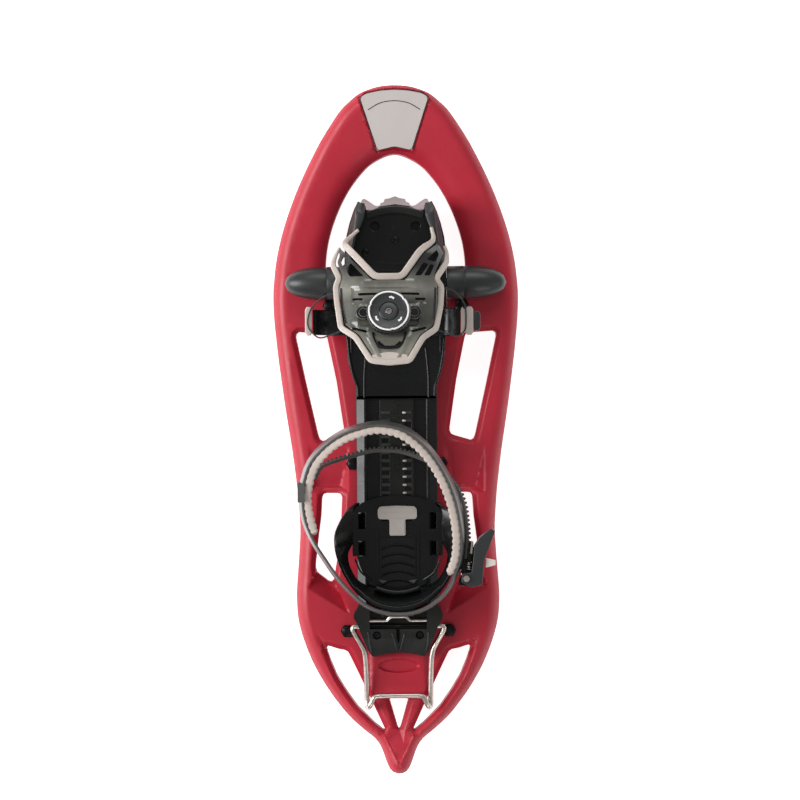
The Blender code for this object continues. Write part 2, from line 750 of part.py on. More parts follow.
def make_guides():
    """Lace guides at the arms' ends; the right one has a groove round it and a dark end cap."""
    left = [(-75.9, 83), (-75.9, 102), (-74.5, 104.4), (-71.4, 104.4), (-70.2, 102), (-70.2, 83),
            (-71.4, 80.6), (-74.5, 80.6)]
    left = prism("lace_guide_left", "beige_rubber", left, 84, 93.6)
    right = [(54.6, 82), (56, 80.2), (57, 82.2), (58.6, 82.2), (60, 80.2), (63.4, 80.2), (65, 82.4),
             (65, 101.4), (63.4, 103.8), (60, 103.8), (58.6, 101.8), (57, 101.8), (56, 103.8), (54.6, 102)]
    right = prism("lace_guide_right", "beige_rubber", right, 78, 90)
    cap = [(65.4, 83.8), (69.4, 83.8), (71, 86), (71, 98), (69.4, 100.2), (65.4, 100.2)]
    cap = prism("guide_cap_right", "charcoal_plastic", cap, 79, 89)
    return left, right, cap


def make_laces():
    """Thin laces that leave the harness, pass over the arm's guide and come back."""
    left = [(-46.5, 113.5, 99.2), (-52.6, 115, 98.4), (-61.6, 111.6, 97), (-69.6, 104.4, 95.4),
            (-73.2, 95.5, 94.8), (-72.6, 86.6, 95), (-65.1, 78.9, 96.2), (-56.7, 79.8, 98.6),
            (-43.6, 84.6, 102)]
    right = [(33.4, 117, 101.5), (43.8, 118.4, 99), (52.9, 112.6, 96), (58, 104.2, 92.4), (58.8, 93.5, 91.2),
             (57.8, 84.4, 91.4), (52.2, 79.4, 94.6), (44, 80.6, 99), (31, 86, 106)]
    made = []
    for name, route in (("lace_left", left), ("lace_right", right)):
        made.append(smooth(swept(name, "lace_black", curve_through(route, 3), round_section(0.65, 6)), 70))
    return made


# ---------------------------------------------------------------- harness and dial


def saddle(x, y):
    """Height of the harness over the instep: a sloping ridge that falls away at the sides and the tips."""
    side = max(0.0, abs(x - HARNESS_X) - 16)
    ridge = HARNESS_Z - math.tan(HARNESS_TILT) * (y - 100) - 0.02 * side**2
    tip = min(1.0, max(0.0, (y - TIP_START) / TIP_LENGTH))
    return ridge + (TIP_Z - ridge) * tip**2 * (3 - 2 * tip)


def on_saddle(points, lift):
    return [(x, y, saddle(x, y) + lift) for x, y in points]


def upper_rim_path():
    return [(-30.7, 168.4), (-43.4, 156.8), (-17, 128.2), (5.5, 128.2), (21, 150.4), (32.8, 159.1),
            (30.4, 170.2)]


def lower_rim_path():
    return [(-49.4, 147.1), (-51.8, 140.4), (-47, 128.5), (-50.2, 118.2), (-44.8, 85.5), (-32.5, 74.2),
            (-20.3, 59), (-5.2, 57), (10.2, 58.6), (22.3, 75.2), (32.9, 83.3), (37.7, 100.7), (37.9, 121.5),
            (35, 128), (37.6, 133.9), (43.8, 149.5), (41.3, 154.6)]


def divided(path, longest):
    """The path with its long straight runs split, so that it can follow a curved surface."""
    result = [path[0]]
    for a, b in zip(path, path[1:]):
        parts = max(1, math.ceil(math.dist(a, b) / longest))
        for part in range(1, parts + 1):
            t = part / parts
            result.append((a[0] + (b[0] - a[0]) * t, a[1] + (b[1] - a[1]) * t))
    return result


def make_rims():
    section = [(-2.3, -1.6), (2.3, -1.6), (2.3, 1), (1.2, 2), (-1.2, 2), (-2.3, 1)]
    made = []
    for name, path in (("harness_rim_upper", upper_rim_path()), ("harness_rim_lower", lower_rim_path())):
        route = on_saddle(divided(path, 9), 0.4)
        made.append(swept(name, "beige_rubber", route, section))
    return made


def make_harness():
    """Harness shell between the rims, with an open window in each wing."""
    right = [(9.6, 61.7), (19.4, 77), (30, 85.4), (34.5, 101), (34.7, 121), (31.7, 128), (34.3, 135),
             (40.4, 149), (38.6, 151.6), (35.6, 156.6), (23.6, 147.2), (8.4, 125.2)]
    left = [(-19.4, 125.2), (-46.4, 153.4), (-47.4, 149.6), (-45.8, 147.2), (-48.4, 141), (-43.7, 128.5),
            (-46.8, 118), (-41.8, 87.2), (-30, 76.6), (-18.9, 62.3), (-5.2, 60.3)]
    windows = [[(16, 129), (28.6, 129), (36.4, 147), (34.6, 151), (26.4, 144.6)],
               [(-26, 128.6), (-40, 128.6), (-45, 141), (-42.4, 145.6)]]
    rows = [(x, y) for y in (76, 88, 100, 112, 122) for x in (-32, -21.5, -13, -5.5, 2, 10.5, 21, 28)]
    outline = right + left
    inner = [p for p in rows if inside([outline], *p) and edge_distance(outline, *p) > 2.5]
    border = divided(outline + outline[:1], 9)[:-1]
    return smooth(height_solid("harness_shell", "harness_grey", border, windows,
                               lambda x, y: saddle(x, y) + 1.2, lambda x, y: saddle(x, y) - 1.2,
                               points=inner), 50)


def dial_frame():
    """Frame of the dial: its +Z is square to the harness ridge."""
    x, y = DIAL
    base = Vector((x, y, saddle(x, y) + 1.2))
    sine, cosine = math.sin(HARNESS_TILT), math.cos(HARNESS_TILT)
    return lambda u, v, w: (base.x + u, base.y + v * cosine + w * sine, base.z - v * sine + w * cosine)


def base_outline():
    """Round base with an ear on each side."""
    ear, ear_radius, count = 21.0, 6.6, 36
    points = []
    for index in range(count):
        angle = 2 * math.pi * index / count
        reach = 17.0
        span = ear_radius**2 - (ear * math.sin(angle)) ** 2
        if span > 0:
            reach = max(reach, ear * abs(math.cos(angle)) + math.sqrt(span))
        points.append((reach * math.cos(angle), reach * math.sin(angle) + 1.5 * abs(math.cos(angle))))
    return points


def make_dial():
    frame = dial_frame()
    base = prism("dial_base", "black_plastic", base_outline(), 0.6, 4.4, [circle(0, 0, 2.4, 12)], axes=frame)
    spool = [(2.8, 5), (11.6, 5), (11.6, 6), (9, 7), (9, 8.6), (11.6, 9.4), (2.8, 9.4)]
    spool = turned("lace_spool", "black_plastic", spool, 16, frame, ring=True)
    flutes = lambda side, radius: radius - 0.7 * (side % 2) if radius > 17.9 else radius
    knob = [(2.6, 12.4), (2.6, 10), (13, 10), (13, 4.9), (18.2, 4.9), (18.7, 6), (18.7, 12.4), (17.2, 15),
            (7.2, 15), (5.6, 12.4)]
    knob = turned("dial_knob", "black_plastic", knob, 32, frame, ring=True, flute=flutes)
    ring = [(15.3, 15.3), (16.7, 15.3), (16.7, 16), (15.3, 16)]
    ring = turned("dial_ring", "dial_white", ring, 24, frame, ring=True)
    stem = [(0, 1.2), (2, 1.2), (2, 12.7), (4, 12.7), (3.6, 14.2), (0, 14.2)]
    stem = turned("dial_screw", "dark_steel", stem, 12, frame)
    return base, spool, knob, ring, stem


# ---------------------------------------------------------------- heel


def cup_wall():
    """Bowl wall: half stations of (foot x, y, z) and (crest x, y, z), mirrored round the rear."""
    half = [((35, -67, 62), (45, -73, 66.5)), ((35.4, -79, 62), (51.6, -86, 78)),
            ((36.5, -92, 62.4), (51.6, -97, 84)),
            ((41.8, -104, 65), (48.8, -107.6, 84)), ((39.6, -116, 68), (44.2, -118.6, 84.6)),
            ((32, -127, 68), (34.2, -133, 91)), ((17.6, -133, 64.6), (19, -144, 96.5)),
            ((0, -135, 63.6), (0, -148, 98))]
    stations = half + [((-a[0], a[1], a[2]), (-b[0], b[1], b[2])) for a, b in reversed(half[:-1])]
    sections = []
    for index, (foot, crest) in enumerate(stations):
        before = Vector(stations[max(0, index - 1)][1])
        after = Vector(stations[min(len(stations) - 1, index + 1)][1])
        along = (after - before).normalized()
        outward = along.cross(Vector(crest) - Vector(foot)).normalized()
        if outward.z > 0:
            outward = -outward
        thick = outward * 2.6
        sections.append([foot, crest, tuple(Vector(crest) + thick), tuple(Vector(foot) + thick)])
    return lofted("wall", "black_plastic", sections)


def make_heel_cup():
    """Heel carrier: floor on the rails, hooks under them, and the bowl's wall."""
    floor = [(0, -54.3), (15, -55.6), (30.6, -60.6), (38.5, -68), (38.5, -92), (35, -104), (31, -118),
             (24, -129), (12, -136), (0, -138)]
    holes = []
    for side in (1, -1):
        holes.append([(side * 27, -69), (side * 33, -69), (side * 33, -83), (side * 27, -83)])
        holes.append([(side * 27, -93), (side * 33, -93), (side * 33, -106), (side * 27, -106)])
    holes.append([(-13, -65.4), (13, -65.4), (13, -76), (-13, -76)])
    cup = prism("heel_cup", "black_plastic", mirrored(floor), CUP_FLOOR, CUP_TOP, holes)
    union(cup, cup_wall())
    hook = [(34.9, 62), (38.3, 62), (38.3, 47.3), (31.6, 47.3), (31.6, 49.4), (34.9, 49.4)]
    for side in (1, -1):
        outline = [(side * x, z) for x, z in hook]
        for y in ((-90, -70), (-106, -94)):
            union(cup, prism("hook", "black_plastic", outline, *y, axes=lambda u, v, w: (u, w, v)))
    return smooth(cup, 30)


def make_heel_tongue():
    outline = mirrored([(0, -90.5), (15.2, -90.5), (15.2, -126), (10, -130.6), (0, -132)])
    return prism("heel_tongue", "black_plastic", outline, CUP_TOP + GAP, CUP_TOP + 2)


def make_size_lock():
    """T-shaped lever with two teeth that reach down to the size scale."""
    half = [(0, -63.3), (14.6, -63.9), (16.5, -66.5), (16.5, -73), (15, -74.7), (6.8, -74.7), (6.8, -88.6),
            (0, -88.6)]
    lock = prism("size_lock", "lock_grey", mirrored(half), CUP_TOP + 0.4, CUP_TOP + 3.4)
    teeth = [box("tooth", "lock_grey", (side * 9.5 - 2.4, side * 9.5 + 2.4), (-70.6, -68.4), (58.9, 65))
             for side in (1, -1)]
    return union(lock, *teeth)


def strap_z(y):
    return STRAP_REAR_Z + STRAP_SLOPE * (y + 155)


def raised(points):
    return [(x, y, strap_z(y)) for x, y in points]


def make_heel_strap():
    """Closed band round the cup and over the instep."""
    ring = [(0, -153.6), (-15, -151.2), (-28.6, -144.8), (-42.4, -132), (-51.6, -120.8), (-60.4, -107.8),
            (-70.6, -91), (-77.4, -74), (-79.4, -57.3), (-78, -40.7), (-72, -24.4), (-60.6, -11.5),
            (-47.6, -2.2), (-36, 2.8), (-19.4, 7), (-4.8, 6), (8.6, 1.4), (22.4, -9.5), (33.2, -23),
            (42.2, -38.6), (49, -56), (52.9, -74), (54.4, -91), (53, -107.8), (47.8, -121.4),
            (40.4, -134.6), (28.6, -145.4), (15, -151.8)]
    path = curve_through(raised(ring), 2, True)
    return smooth(swept("heel_strap", "strap_grey", path, flat_section(2.4, 24), closed=True), 40)


def make_strap_pad():
    route = [(-69.2, -84), (-72.3, -73), (-74.6, -57.5), (-73, -42.5), (-67.8, -27.4), (-57.4, -15.2),
             (-45.4, -6.6), (-34.6, -2.2), (-19.4, 1.8), (-6, 0.8), (5.6, -3.2), (18.4, -13.2), (29, -26),
             (37.6, -41.2), (44, -57.8), (47.9, -75), (49.4, -91), (48, -106.4), (43.4, -118.8)]
    return smooth(swept("strap_pad", "pad_beige", curve_through(raised(route), 2), flat_section(5, 22)), 40)


def make_ladder_strap():
    """Toothed strap: from the keeper, under the pad's edge, along the band's outside into the buckle."""
    route = [(-69.2, -40), (-63.6, -29.9), (-53.5, -25.3), (-39.2, -21.1), (-22.4, -16.8), (-9.8, -16.1),
             (2.6, -17.3), (15.2, -21.1), (27.6, -26.9), (40.2, -36.5), (50, -47.6), (55.6, -62.2),
             (57.7, -77.9), (58.3, -91), (57.7, -101), (56.8, -107)]
    path = curve_through([(x, y, LADDER_Z - 2.2) for x, y in route], 2)
    return smooth(swept("ladder_strap", "strap_grey", path, flat_section(2.6, 12)), 40)


def make_keeper():
    """Loop that holds the band and the ladder strap's end together."""
    x, y = -82.4, -50
    z = strap_z(y)
    plate = [(x, z - 15.6), (x, z + 15.6), (x + 6, z + 15.6), (x + 6, z + 14.4), (x + 1.2, z + 14.4),
             (x + 1.2, z - 14.4), (x + 6, z - 14.4), (x + 6, z - 15.6)]
    return prism("strap_keeper", "strap_grey", plate, y - 8, y + 8, axes=lambda u, v, w: (u, w, v))


def make_buckle():
    """Ratchet buckle: base on the band, pivot pin, lever and its release tab."""
    base = [(60, -93), (62.2, -97), (60.6, -119), (61.6, -121), (61.6, -128), (58, -130.4), (50.6, -129.6),
            (51.4, -124.8), (56, -116.4), (58.8, -107), (60, -99)]
    hole = [circle(*BUCKLE_PIN, 1.9, 12)]
    base = prism("buckle_base", "black_plastic", base, 84, 87.4, hole)
    lever = [(60.4, -130.4), (70.1, -128.4), (71.9, -107.6), (76.1, -97.6), (81.3, -83.4), (79, -82.2),
             (74, -84.6), (68.6, -89), (63.9, -96), (62.8, -108), (61.2, -118), (53.6, -119), (53, -126)]
    lever = prism("buckle_lever", "black_plastic", lever, 88, 108, hole)
    slot = prism("slot", "steel", [(50, -108), (66, -108), (66, -131), (50, -131)], 94, 102)
    cut(lever, slot)
    pin = [(0, 82.6), (1.6, 82.6), (1.6, 108.3), (3, 108.3), (2.6, 109.8), (0, 109.8)]
    pin = turned("buckle_pin", "chrome", pin, 12, upright(*BUCKLE_PIN, 0))
    tab = [(73.2, -106.6), (81.6, -108.4), (81.4, -112.2), (72.8, -114.2)]
    tab = prism("release_tab", "beige_rubber", tab, 92, 104)
    pawl = [(61.6, -91.5), (63, -92.5), (61.9, -103), (60.4, -102)]
    pawl = prism("buckle_pawl", "lock_grey", pawl, 98, 104)
    return base, lever, pin, tab, pawl


# ---------------------------------------------------------------- assembly


def build_deck():
    shape = DeckShape()
    make_deck(shape)
    make_nameplate(shape)
    make_pod("pivot_pod_right", 1)
    make_pod("pivot_pod_left", -1)
    make_axle()
    for number, (x, y) in enumerate(shape.spikes, 1):
        make_spike(f"spike_{number}", x, y)
        make_nut(f"spike_nut_{number}", x, y)
    make_heel_block()
    for side, name in ((1, "right"), (-1, "left")):
        screw(f"block_screw_{name}", "dark_steel", side * 18.2, -173.3, 58.4, 3.2, 1.6, 1.5, 10)
    on_joint("heel_lift_axis", (0, *BAIL), [make_bail()])
    rod, _ = make_latch()
    on_joint("latch_axis", (0, *LATCH), [rod])


def build_binding():
    pieces = [make_plate(), make_size_scale(), make_crampon(), *make_arms(), *make_guides(), *make_laces(),
              *make_rims(), make_harness()]
    for (x, y), name in zip(screw_places(), ("middle", "right", "left")):
        pieces.append(screw(f"toe_screw_{name}", "dark_steel", x, y, PLATE_TOP + GAP, 3, 1.4, 1.5, 17))
    base, *turning = make_dial()
    pieces.append(base)
    on_joint("binding_axis", (0, PIVOT_Y, PIVOT_Z), pieces)
    on_joint("dial_axis", dial_frame()(0, 0, 0), turning)


def build_heel():
    base, lever, pin, tab, pawl = make_buckle()
    fixed = [make_heel_cup(), make_heel_tongue(), make_heel_strap(), make_strap_pad(), make_ladder_strap(),
             make_keeper(), base, pin]
    on_joint("carrier_slide", (0, -100, CUP_FLOOR), fixed)
    on_joint("size_lock_axis", (0, *LOCK_HINGE), [make_size_lock()])
    on_joint("buckle_axis", (*BUCKLE_PIN, 96), [lever, pawl])
    on_joint("tab_axis", (*TAB_PIN, 98), [tab])


clear_scene()
build_deck()
build_binding()
build_heel()
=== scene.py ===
"""Looks of the snowshoe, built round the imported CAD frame.

The shapes are in millimetres in the row frame (+X right, +Y toe, +Z up), and piece() turns them into metres.
A solid is a (points, faces) pair. Each piece is made of one or more solids.
"""

import math

import bmesh
import bpy
import numpy as np
from mathutils import Matrix, Vector
from mathutils.geometry import delaunay_2d_cdt


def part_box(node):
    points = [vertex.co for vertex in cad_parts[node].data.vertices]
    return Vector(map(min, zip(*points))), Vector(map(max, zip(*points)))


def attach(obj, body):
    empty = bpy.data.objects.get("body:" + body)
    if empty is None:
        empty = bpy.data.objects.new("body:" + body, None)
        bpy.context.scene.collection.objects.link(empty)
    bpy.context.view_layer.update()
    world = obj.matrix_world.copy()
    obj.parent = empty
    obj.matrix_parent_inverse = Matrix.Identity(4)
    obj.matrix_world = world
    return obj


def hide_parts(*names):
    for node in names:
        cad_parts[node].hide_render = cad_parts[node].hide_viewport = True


MM = 0.001
WELD_GAP = 0.01 * MM
SHARP = math.radians(30)
SIDES = (1, -1)
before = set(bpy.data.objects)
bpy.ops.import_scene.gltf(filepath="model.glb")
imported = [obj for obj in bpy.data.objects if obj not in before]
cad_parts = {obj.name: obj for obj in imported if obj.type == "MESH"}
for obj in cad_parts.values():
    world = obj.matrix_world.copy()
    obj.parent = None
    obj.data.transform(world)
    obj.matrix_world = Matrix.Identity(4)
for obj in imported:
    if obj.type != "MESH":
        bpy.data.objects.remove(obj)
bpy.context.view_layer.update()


def low(node):
    """Lowest corner of a CAD node's box, in millimetres."""
    return np.array(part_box(node)[0]) / MM


def high(node):
    return np.array(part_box(node)[1]) / MM


def middle(node):
    return (low(node) + high(node)) / 2


# Driving sizes, read from the frame where a node gives them.
# The deck: each rise is the lift of the nose and of the tail, which start at the bends.
DECK_TOP = 42.0
SEAT = DECK_TOP + 0.3
TOP_RISE = (38, 18)
SKIRT_RISE = (44, 27)
NOSE_BEND = 140
TAIL_BEND = -200
SKIRT_BOTTOM = 16.0
SKIRT_WIDTH = 3.0
SKIN = 3.0
NOSE_TIP = high("deck")[1]
TAIL_TIP = low("deck")[1]
OVAL_Y = -200.7
OVAL_HALF = (16.6, 5.5)
CREASE_FOOT = -284
CREASE_SLOPE = 0.48
POCKET_CORNER = (40.5, -157)
# The binding and what it carries: DIAL, TOE_SCREW and BUCKLE_PIN are (x, y), and an AXIS is (y, z).
PIVOT_Y, PIVOT_Z = middle("pivot_axle")[1:]
POD_INNER = low("pivot_pod_right")[0]
POD_OUTER = high("pivot_pod_right")[0]
POD_RADIUS = 14.0
COLLAR_INNER = 43.4
TOE_SCREW = (17.3, 173.2)
FLOOR_BOTTOM = 50
FLOOR_TOP = 62
HARNESS_X = -5.5
HARNESS_Z = 128.0
HARNESS_TILT = math.radians(14)
TIP_START = 146.0
TIP_LENGTH = 21.0
TIP_Z = 92.5
DIAL = (-5.6, 95.6)
CUP_FLOOR = 60.6
CUP_TOP = 64.0
BAIL_AXIS = (-166.2, 56.0)
BAIL_RADIUS = 2.2
LATCH_AXIS = (-161.0, 58.0)
BUCKLE_PIN = (57.1, -123.0)
# Two looks share the slot of a plainer material, because a slot has to be one that the record names
# Inputs of a colour mix: its factor and its two colours. Its colour result is output 2.
MIX_INPUTS = (0, 6, 7)
MIX_RESULT = 2


# ---------------------------------------------------------------- materials


def shader_of(name):
    made = bpy.data.materials.new(name)
    made.use_nodes = True
    return made, made.node_tree, made.node_tree.nodes["Principled BSDF"]


def preset(node, values):
    """Sets inputs of a node that stay unlinked."""
    for name, value in values.items():
        node.inputs[name].default_value = value


def noise(tree, scale, detail=4.0, roughness=0.55, stretch=(1, 1, 1)):
    """Noise in the piece's own coordinates, so that it moves with the piece."""
    where = tree.nodes.new("ShaderNodeTexCoord")
    mapping = tree.nodes.new("ShaderNodeMapping")
    texture = tree.nodes.new("ShaderNodeTexNoise")
    preset(mapping, {"Scale": stretch})
    preset(texture, {"Scale": scale, "Detail": detail, "Roughness": roughness})
    tree.links.new(where.outputs["Object"], mapping.inputs["Vector"])
    tree.links.new(mapping.outputs["Vector"], texture.inputs["Vector"])
    return texture.outputs["Fac"]


def ramp(tree, source, stops):
    """Maps a value to the stops' (position, colour or grey)."""
    node = tree.nodes.new("ShaderNodeValToRGB")
    elements = node.color_ramp.elements
    while len(elements) < len(stops):
        elements.new(0.5)
    for element, (position, value) in zip(elements, stops):
        element.position = position
        element.color = (*value, 1) if hasattr(value, "__len__") else (value, value, value, 1)
    tree.links.new(source, node.inputs["Fac"])
    return node.outputs["Color"]


def mixed(tree, factor, a, b, blend="MIX"):
    """Mix of two colours; each of the three inputs may be a socket."""
    node = tree.nodes.new("ShaderNodeMix")
    node.data_type = "RGBA"
    node.blend_type = blend
    for key, value in zip(MIX_INPUTS, (factor, a, b)):
        if isinstance(value, bpy.types.NodeSocket):
            tree.links.new(value, node.inputs[key])
        else:
            node.inputs[key].default_value = value if key == MIX_INPUTS[0] else (*value, 1)
    return node.outputs[MIX_RESULT]


def bumped(tree, shader, heights):
    """Chains bumps of (height socket, strength, distance in millimetres) into the shader's normal."""
    last = None
    for height, strength, distance in heights:
        node = tree.nodes.new("ShaderNodeBump")
        node.inputs["Strength"].default_value = strength
        node.inputs["Distance"].default_value = distance * MM
        tree.links.new(height, node.inputs["Height"])
        if last:
            tree.links.new(last, node.inputs["Normal"])
        last = node.outputs["Normal"]
    tree.links.new(last, shader.inputs["Normal"])


def plastic(name, color, roughness, grain=0.25, spread=0.1, wear=0.25, coat=0.0, shine=0.5):
    """Moulded plastic: uneven tone, fine grain, rubbed edges and smudged gloss."""
    made, tree, shader = shader_of(name)
    color = np.array(color)
    tones = [(0.3, color * (1 - spread)), (0.7, np.minimum(color * (1 + spread), 1))]
    base = ramp(tree, noise(tree, 22.0), tones)
    geometry = tree.nodes.new("ShaderNodeNewGeometry")
    edges = ramp(tree, geometry.outputs["Pointiness"], [(0.52, 0.0), (0.6, wear)])
    scuffs = mixed(tree, noise(tree, 160.0, 6.0, 0.7), (0, 0, 0), (1, 1, 1))
    worn = mixed(tree, 1.0, edges, scuffs, "MULTIPLY")
    pale = tuple(np.minimum(color * 1.5 + 0.02, 1))
    smudge = ramp(tree, noise(tree, 60.0, 5.0, 0.6), [(0.3, roughness - 0.06), (0.7, roughness + 0.07)])
    tree.links.new(mixed(tree, worn, base, pale), shader.inputs["Base Color"])
    tree.links.new(smudge, shader.inputs["Roughness"])
    preset(shader, {"Coat Weight": coat, "Coat Roughness": 0.2, "Specular IOR Level": shine})
    bumped(tree, shader, [(noise(tree, 2600.0, 2.0), grain, 0.05), (noise(tree, 90.0, 3.0), 0.12, 0.25)])
    return made


def metal(name, color, roughness, brush=0.2, stretch=(1, 1, 1), scale=900.0):
    """Metal with drawn or brushed streaks and faint stains."""
    made, tree, shader = shader_of(name)
    color = np.array(color)
    stains = ramp(tree, noise(tree, 45.0, 5.0), [(0.3, color * 0.86), (0.7, color)])
    streaks = noise(tree, scale, 3.0, 0.6, stretch)
    gloss = ramp(tree, streaks, [(0.2, roughness - 0.05), (0.8, roughness + 0.1)])
    tree.links.new(stains, shader.inputs["Base Color"])
    tree.links.new(gloss, shader.inputs["Roughness"])
    preset(shader, {"Metallic": 1.0})
    bumped(tree, shader, [(streaks, brush, 0.03)])
    return made


def rubber(name, color, roughness, grain=0.5):
    """Soft overmould: matt, a little see-through, with a fine pebble."""
    made, tree, shader = shader_of(name)
    color = np.array(color)
    base = ramp(tree, noise(tree, 30.0, 5.0), [(0.3, color * 0.88), (0.7, np.minimum(color * 1.05, 1))])
    dust = ramp(tree, noise(tree, 420.0, 3.0, 0.7), [(0.35, 0.93), (0.65, 1.0)])
    tree.links.new(mixed(tree, 1.0, base, dust, "MULTIPLY"), shader.inputs["Base Color"])
    preset(shader, {"Roughness": roughness, "Subsurface Weight": 0.06, "Subsurface Scale": 0.5,
                    "Subsurface Radius": (0.004, 0.003, 0.002)})
    bumped(tree, shader, [(noise(tree, 1700.0, 3.0), grain, 0.06)])
    return made


def braid(name, color):
    """Thin braided cord."""
    made, tree, shader = shader_of(name)
    weave = noise(tree, 1500.0, 2.0, 0.5, (1, 1, 2))
    color = np.array(color)
    tree.links.new(ramp(tree, weave, [(0.3, color * 0.6), (0.7, color * 1.6)]), shader.inputs["Base Color"])
    preset(shader, {"Roughness": 0.65, "Sheen Weight": 0.2})
    bumped(tree, shader, [(weave, 0.8, 0.15)])
    return made


def harness_plastic_painted_light_and_shade(name):
    """Smoked plastic: its tone changes from the foot of the harness (0) to its tips (1), in lighter and
    darker bands that are painted light and painted shade.
    """
    made, tree, shader = shader_of(name)
    where = tree.nodes.new("ShaderNodeTexCoord")
    split = tree.nodes.new("ShaderNodeSeparateXYZ")
    along = tree.nodes.new("ShaderNodeMapRange")
    preset(along, {"From Min": 0.058, "From Max": 0.158})
    tree.links.new(where.outputs["Object"], split.inputs["Vector"])
    tree.links.new(split.outputs["Y"], along.inputs["Value"])
    # Painted light and shade: the lighter and darker bands along the harness stand in for how the light falls
    # on it.
    tone = ramp(tree, along.outputs["Result"], [
        (0.0, (0.27, 0.265, 0.225)), (0.16, (0.21, 0.206, 0.17)), (0.32, (0.075, 0.075, 0.063)),
        (0.5, (0.105, 0.103, 0.087)), (0.6, (0.225, 0.22, 0.19)), (0.7, (0.12, 0.117, 0.1)),
        (0.8, (0.022, 0.023, 0.022))])
    clouds = ramp(tree, noise(tree, 55.0, 5.0, 0.6), [(0.3, 0.6), (0.65, 1.0)])
    gloss = ramp(tree, noise(tree, 70.0, 4.0), [(0.3, 0.16), (0.7, 0.3)])
    tree.links.new(mixed(tree, 1.0, tone, clouds, "MULTIPLY"), shader.inputs["Base Color"])
    tree.links.new(gloss, shader.inputs["Roughness"])
    preset(shader, {"Coat Weight": 0.3, "Coat Roughness": 0.15})
    bumped(tree, shader, [(noise(tree, 130.0, 4.0), 0.2, 0.3)])
    return made


def build_materials():
    """Each look's maker, with what it passes on: colour, roughness and then the maker's own values."""
    looks = {
        "deck_red": (plastic, (0.435, 0.0155, 0.034), 0.44, 0.2, 0.05, 0.3, 0.03, 0.4),
        "black_plastic": (plastic, (0.004, 0.0045, 0.0047), 0.25, 0.05, 0.3, 0.2, 0.12, 0.3),
        "strip_black": (plastic, (0.013, 0.0135, 0.0125), 0.3, 0.1, 0.3, 0.3, 0.1, 0.3),
        "charcoal_plastic": (plastic, (0.022, 0.024, 0.025), 0.4, 0.5, 0.2, 0.5),
        "harness_grey": (harness_plastic_painted_light_and_shade,),
        "beige_rubber": (rubber, (0.53, 0.465, 0.42), 0.5),
        # Painted light: a lighter copy of the beige rubber for the release tab, which lies in the lever's
        # shadow.
        "tab_beige": (rubber, (0.86, 0.8, 0.74), 0.45),
        "pad_beige": (rubber, (0.56, 0.48, 0.43), 0.7, 0.9),
        "strap_grey": (plastic, (0.07, 0.07, 0.067), 0.36, 0.5, 0.2, 0.3),
        "lock_grey": (plastic, (0.4, 0.37, 0.345), 0.4, 0.3, 0.12, 0.3),
        "label_silver": (plastic, (0.56, 0.51, 0.49), 0.32, 0.15, 0.04, 0.0, 0.3),
        "dial_white": (plastic, (0.8, 0.79, 0.78), 0.35, 0.1, 0.03, 0.0),
        "steel": (metal, (0.25, 0.225, 0.225), 0.4, 0.35, (1, 8, 1)),
        "chrome": (metal, (0.78, 0.7, 0.64), 0.28, 0.05, (1, 1, 1), 300.0),
        "dark_steel": (metal, (0.03, 0.03, 0.031), 0.34, 0.2),
        "lace_black": (braid, (0.012, 0.012, 0.012)),
    }
    return {name: maker(name, *values) for name, (maker, *values) in looks.items()}


# ---------------------------------------------------------------- curves


def spline(points, steps, closed=False):
    """Catmull-Rom curve through the points, with this many steps in each span."""
    points = np.array(points, float)
    count = len(points)
    if closed:
        around = points[np.arange(-1, count + 2) % count]
    else:
        around = np.vstack([2 * points[0] - points[1], points, 2 * points[-1] - points[-2]])
    result = []
    for index in range(count if closed else count - 1):
        a, b, c, d = around[index:index + 4]
        for step in range(steps):
            t = step / steps
            result.append(b + (c - a) * t / 2 + (2 * a - 5 * b + 4 * c - d) * t * t / 2
                          + (3 * b - a - 3 * c + d) * t**3 / 2)
    if not closed:
        result.append(points[-1])
    return np.array(result)


def spaced(path, pitch, closed=False):
    """The path again, with its points this far apart."""
    path = np.array(path, float)
    if closed:
        path = np.vstack([path, path[:1]])
    reach = np.concatenate([[0], np.cumsum(np.linalg.norm(np.diff(path, axis=0), axis=1))])
    count = max(2, int(round(reach[-1] / pitch)))
    wanted = np.linspace(0, reach[-1], count + 1)
    made = np.stack([np.interp(wanted, reach, path[:, k]) for k in range(path.shape[1])], 1)
    return made[:-1] if closed else made


def rounded(loop, reach, steps=3):
    """The loop with each corner turned into a short curve that starts this far from it."""
    loop = [np.array(point, float) for point in loop]
    made = []
    for index, here in enumerate(loop):
        before, after = loop[index - 1], loop[(index + 1) % len(loop)]
        back, on = before - here, after - here
        start = here + back * min(0.45, reach / np.linalg.norm(back))
        end = here + on * min(0.45, reach / np.linalg.norm(on))
        for step in range(steps + 1):
            t = step / steps
            made.append((1 - t) ** 2 * start + 2 * t * (1 - t) * here + t * t * end)
    return np.array(made)


def mirrored(half):
    """Points of the right half, which start on the middle line, and then those of the left half backwards."""
    return list(half) + [(-x, *rest) for x, *rest in reversed(half) if x]


def flipped(points):
    return [(-x, y) for x, y in points]


def circle(radius, sides, x=0.0, y=0.0):
    turn = 2 * math.pi / sides
    return [(x + radius * math.cos(turn * i), y + radius * math.sin(turn * i)) for i in range(sides)]


def turned_to(loop, anticlockwise):
    """The loop as an array that runs the wanted way round."""
    loop = np.array(loop, float)
    x, y = loop.T
    area = np.sum(x * np.roll(y, -1) - np.roll(x, -1) * y)
    return loop if (area > 0) == anticlockwise else loop[::-1]


def distance_to(loop, spots):
    """Distance from each spot to the nearest edge of a loop."""
    best = np.full(len(spots), 1e9)
    for a, b in zip(loop, np.roll(loop, -1, axis=0)):
        edge = b - a
        t = np.clip((spots - a) @ edge / max(edge @ edge, 1e-12), 0, 1)
        best = np.minimum(best, np.linalg.norm(spots - a - t[:, None] * edge, axis=1))
    return best


def nearest(loops, spots):
    return np.min([distance_to(loop, spots) for loop in loops], axis=0)


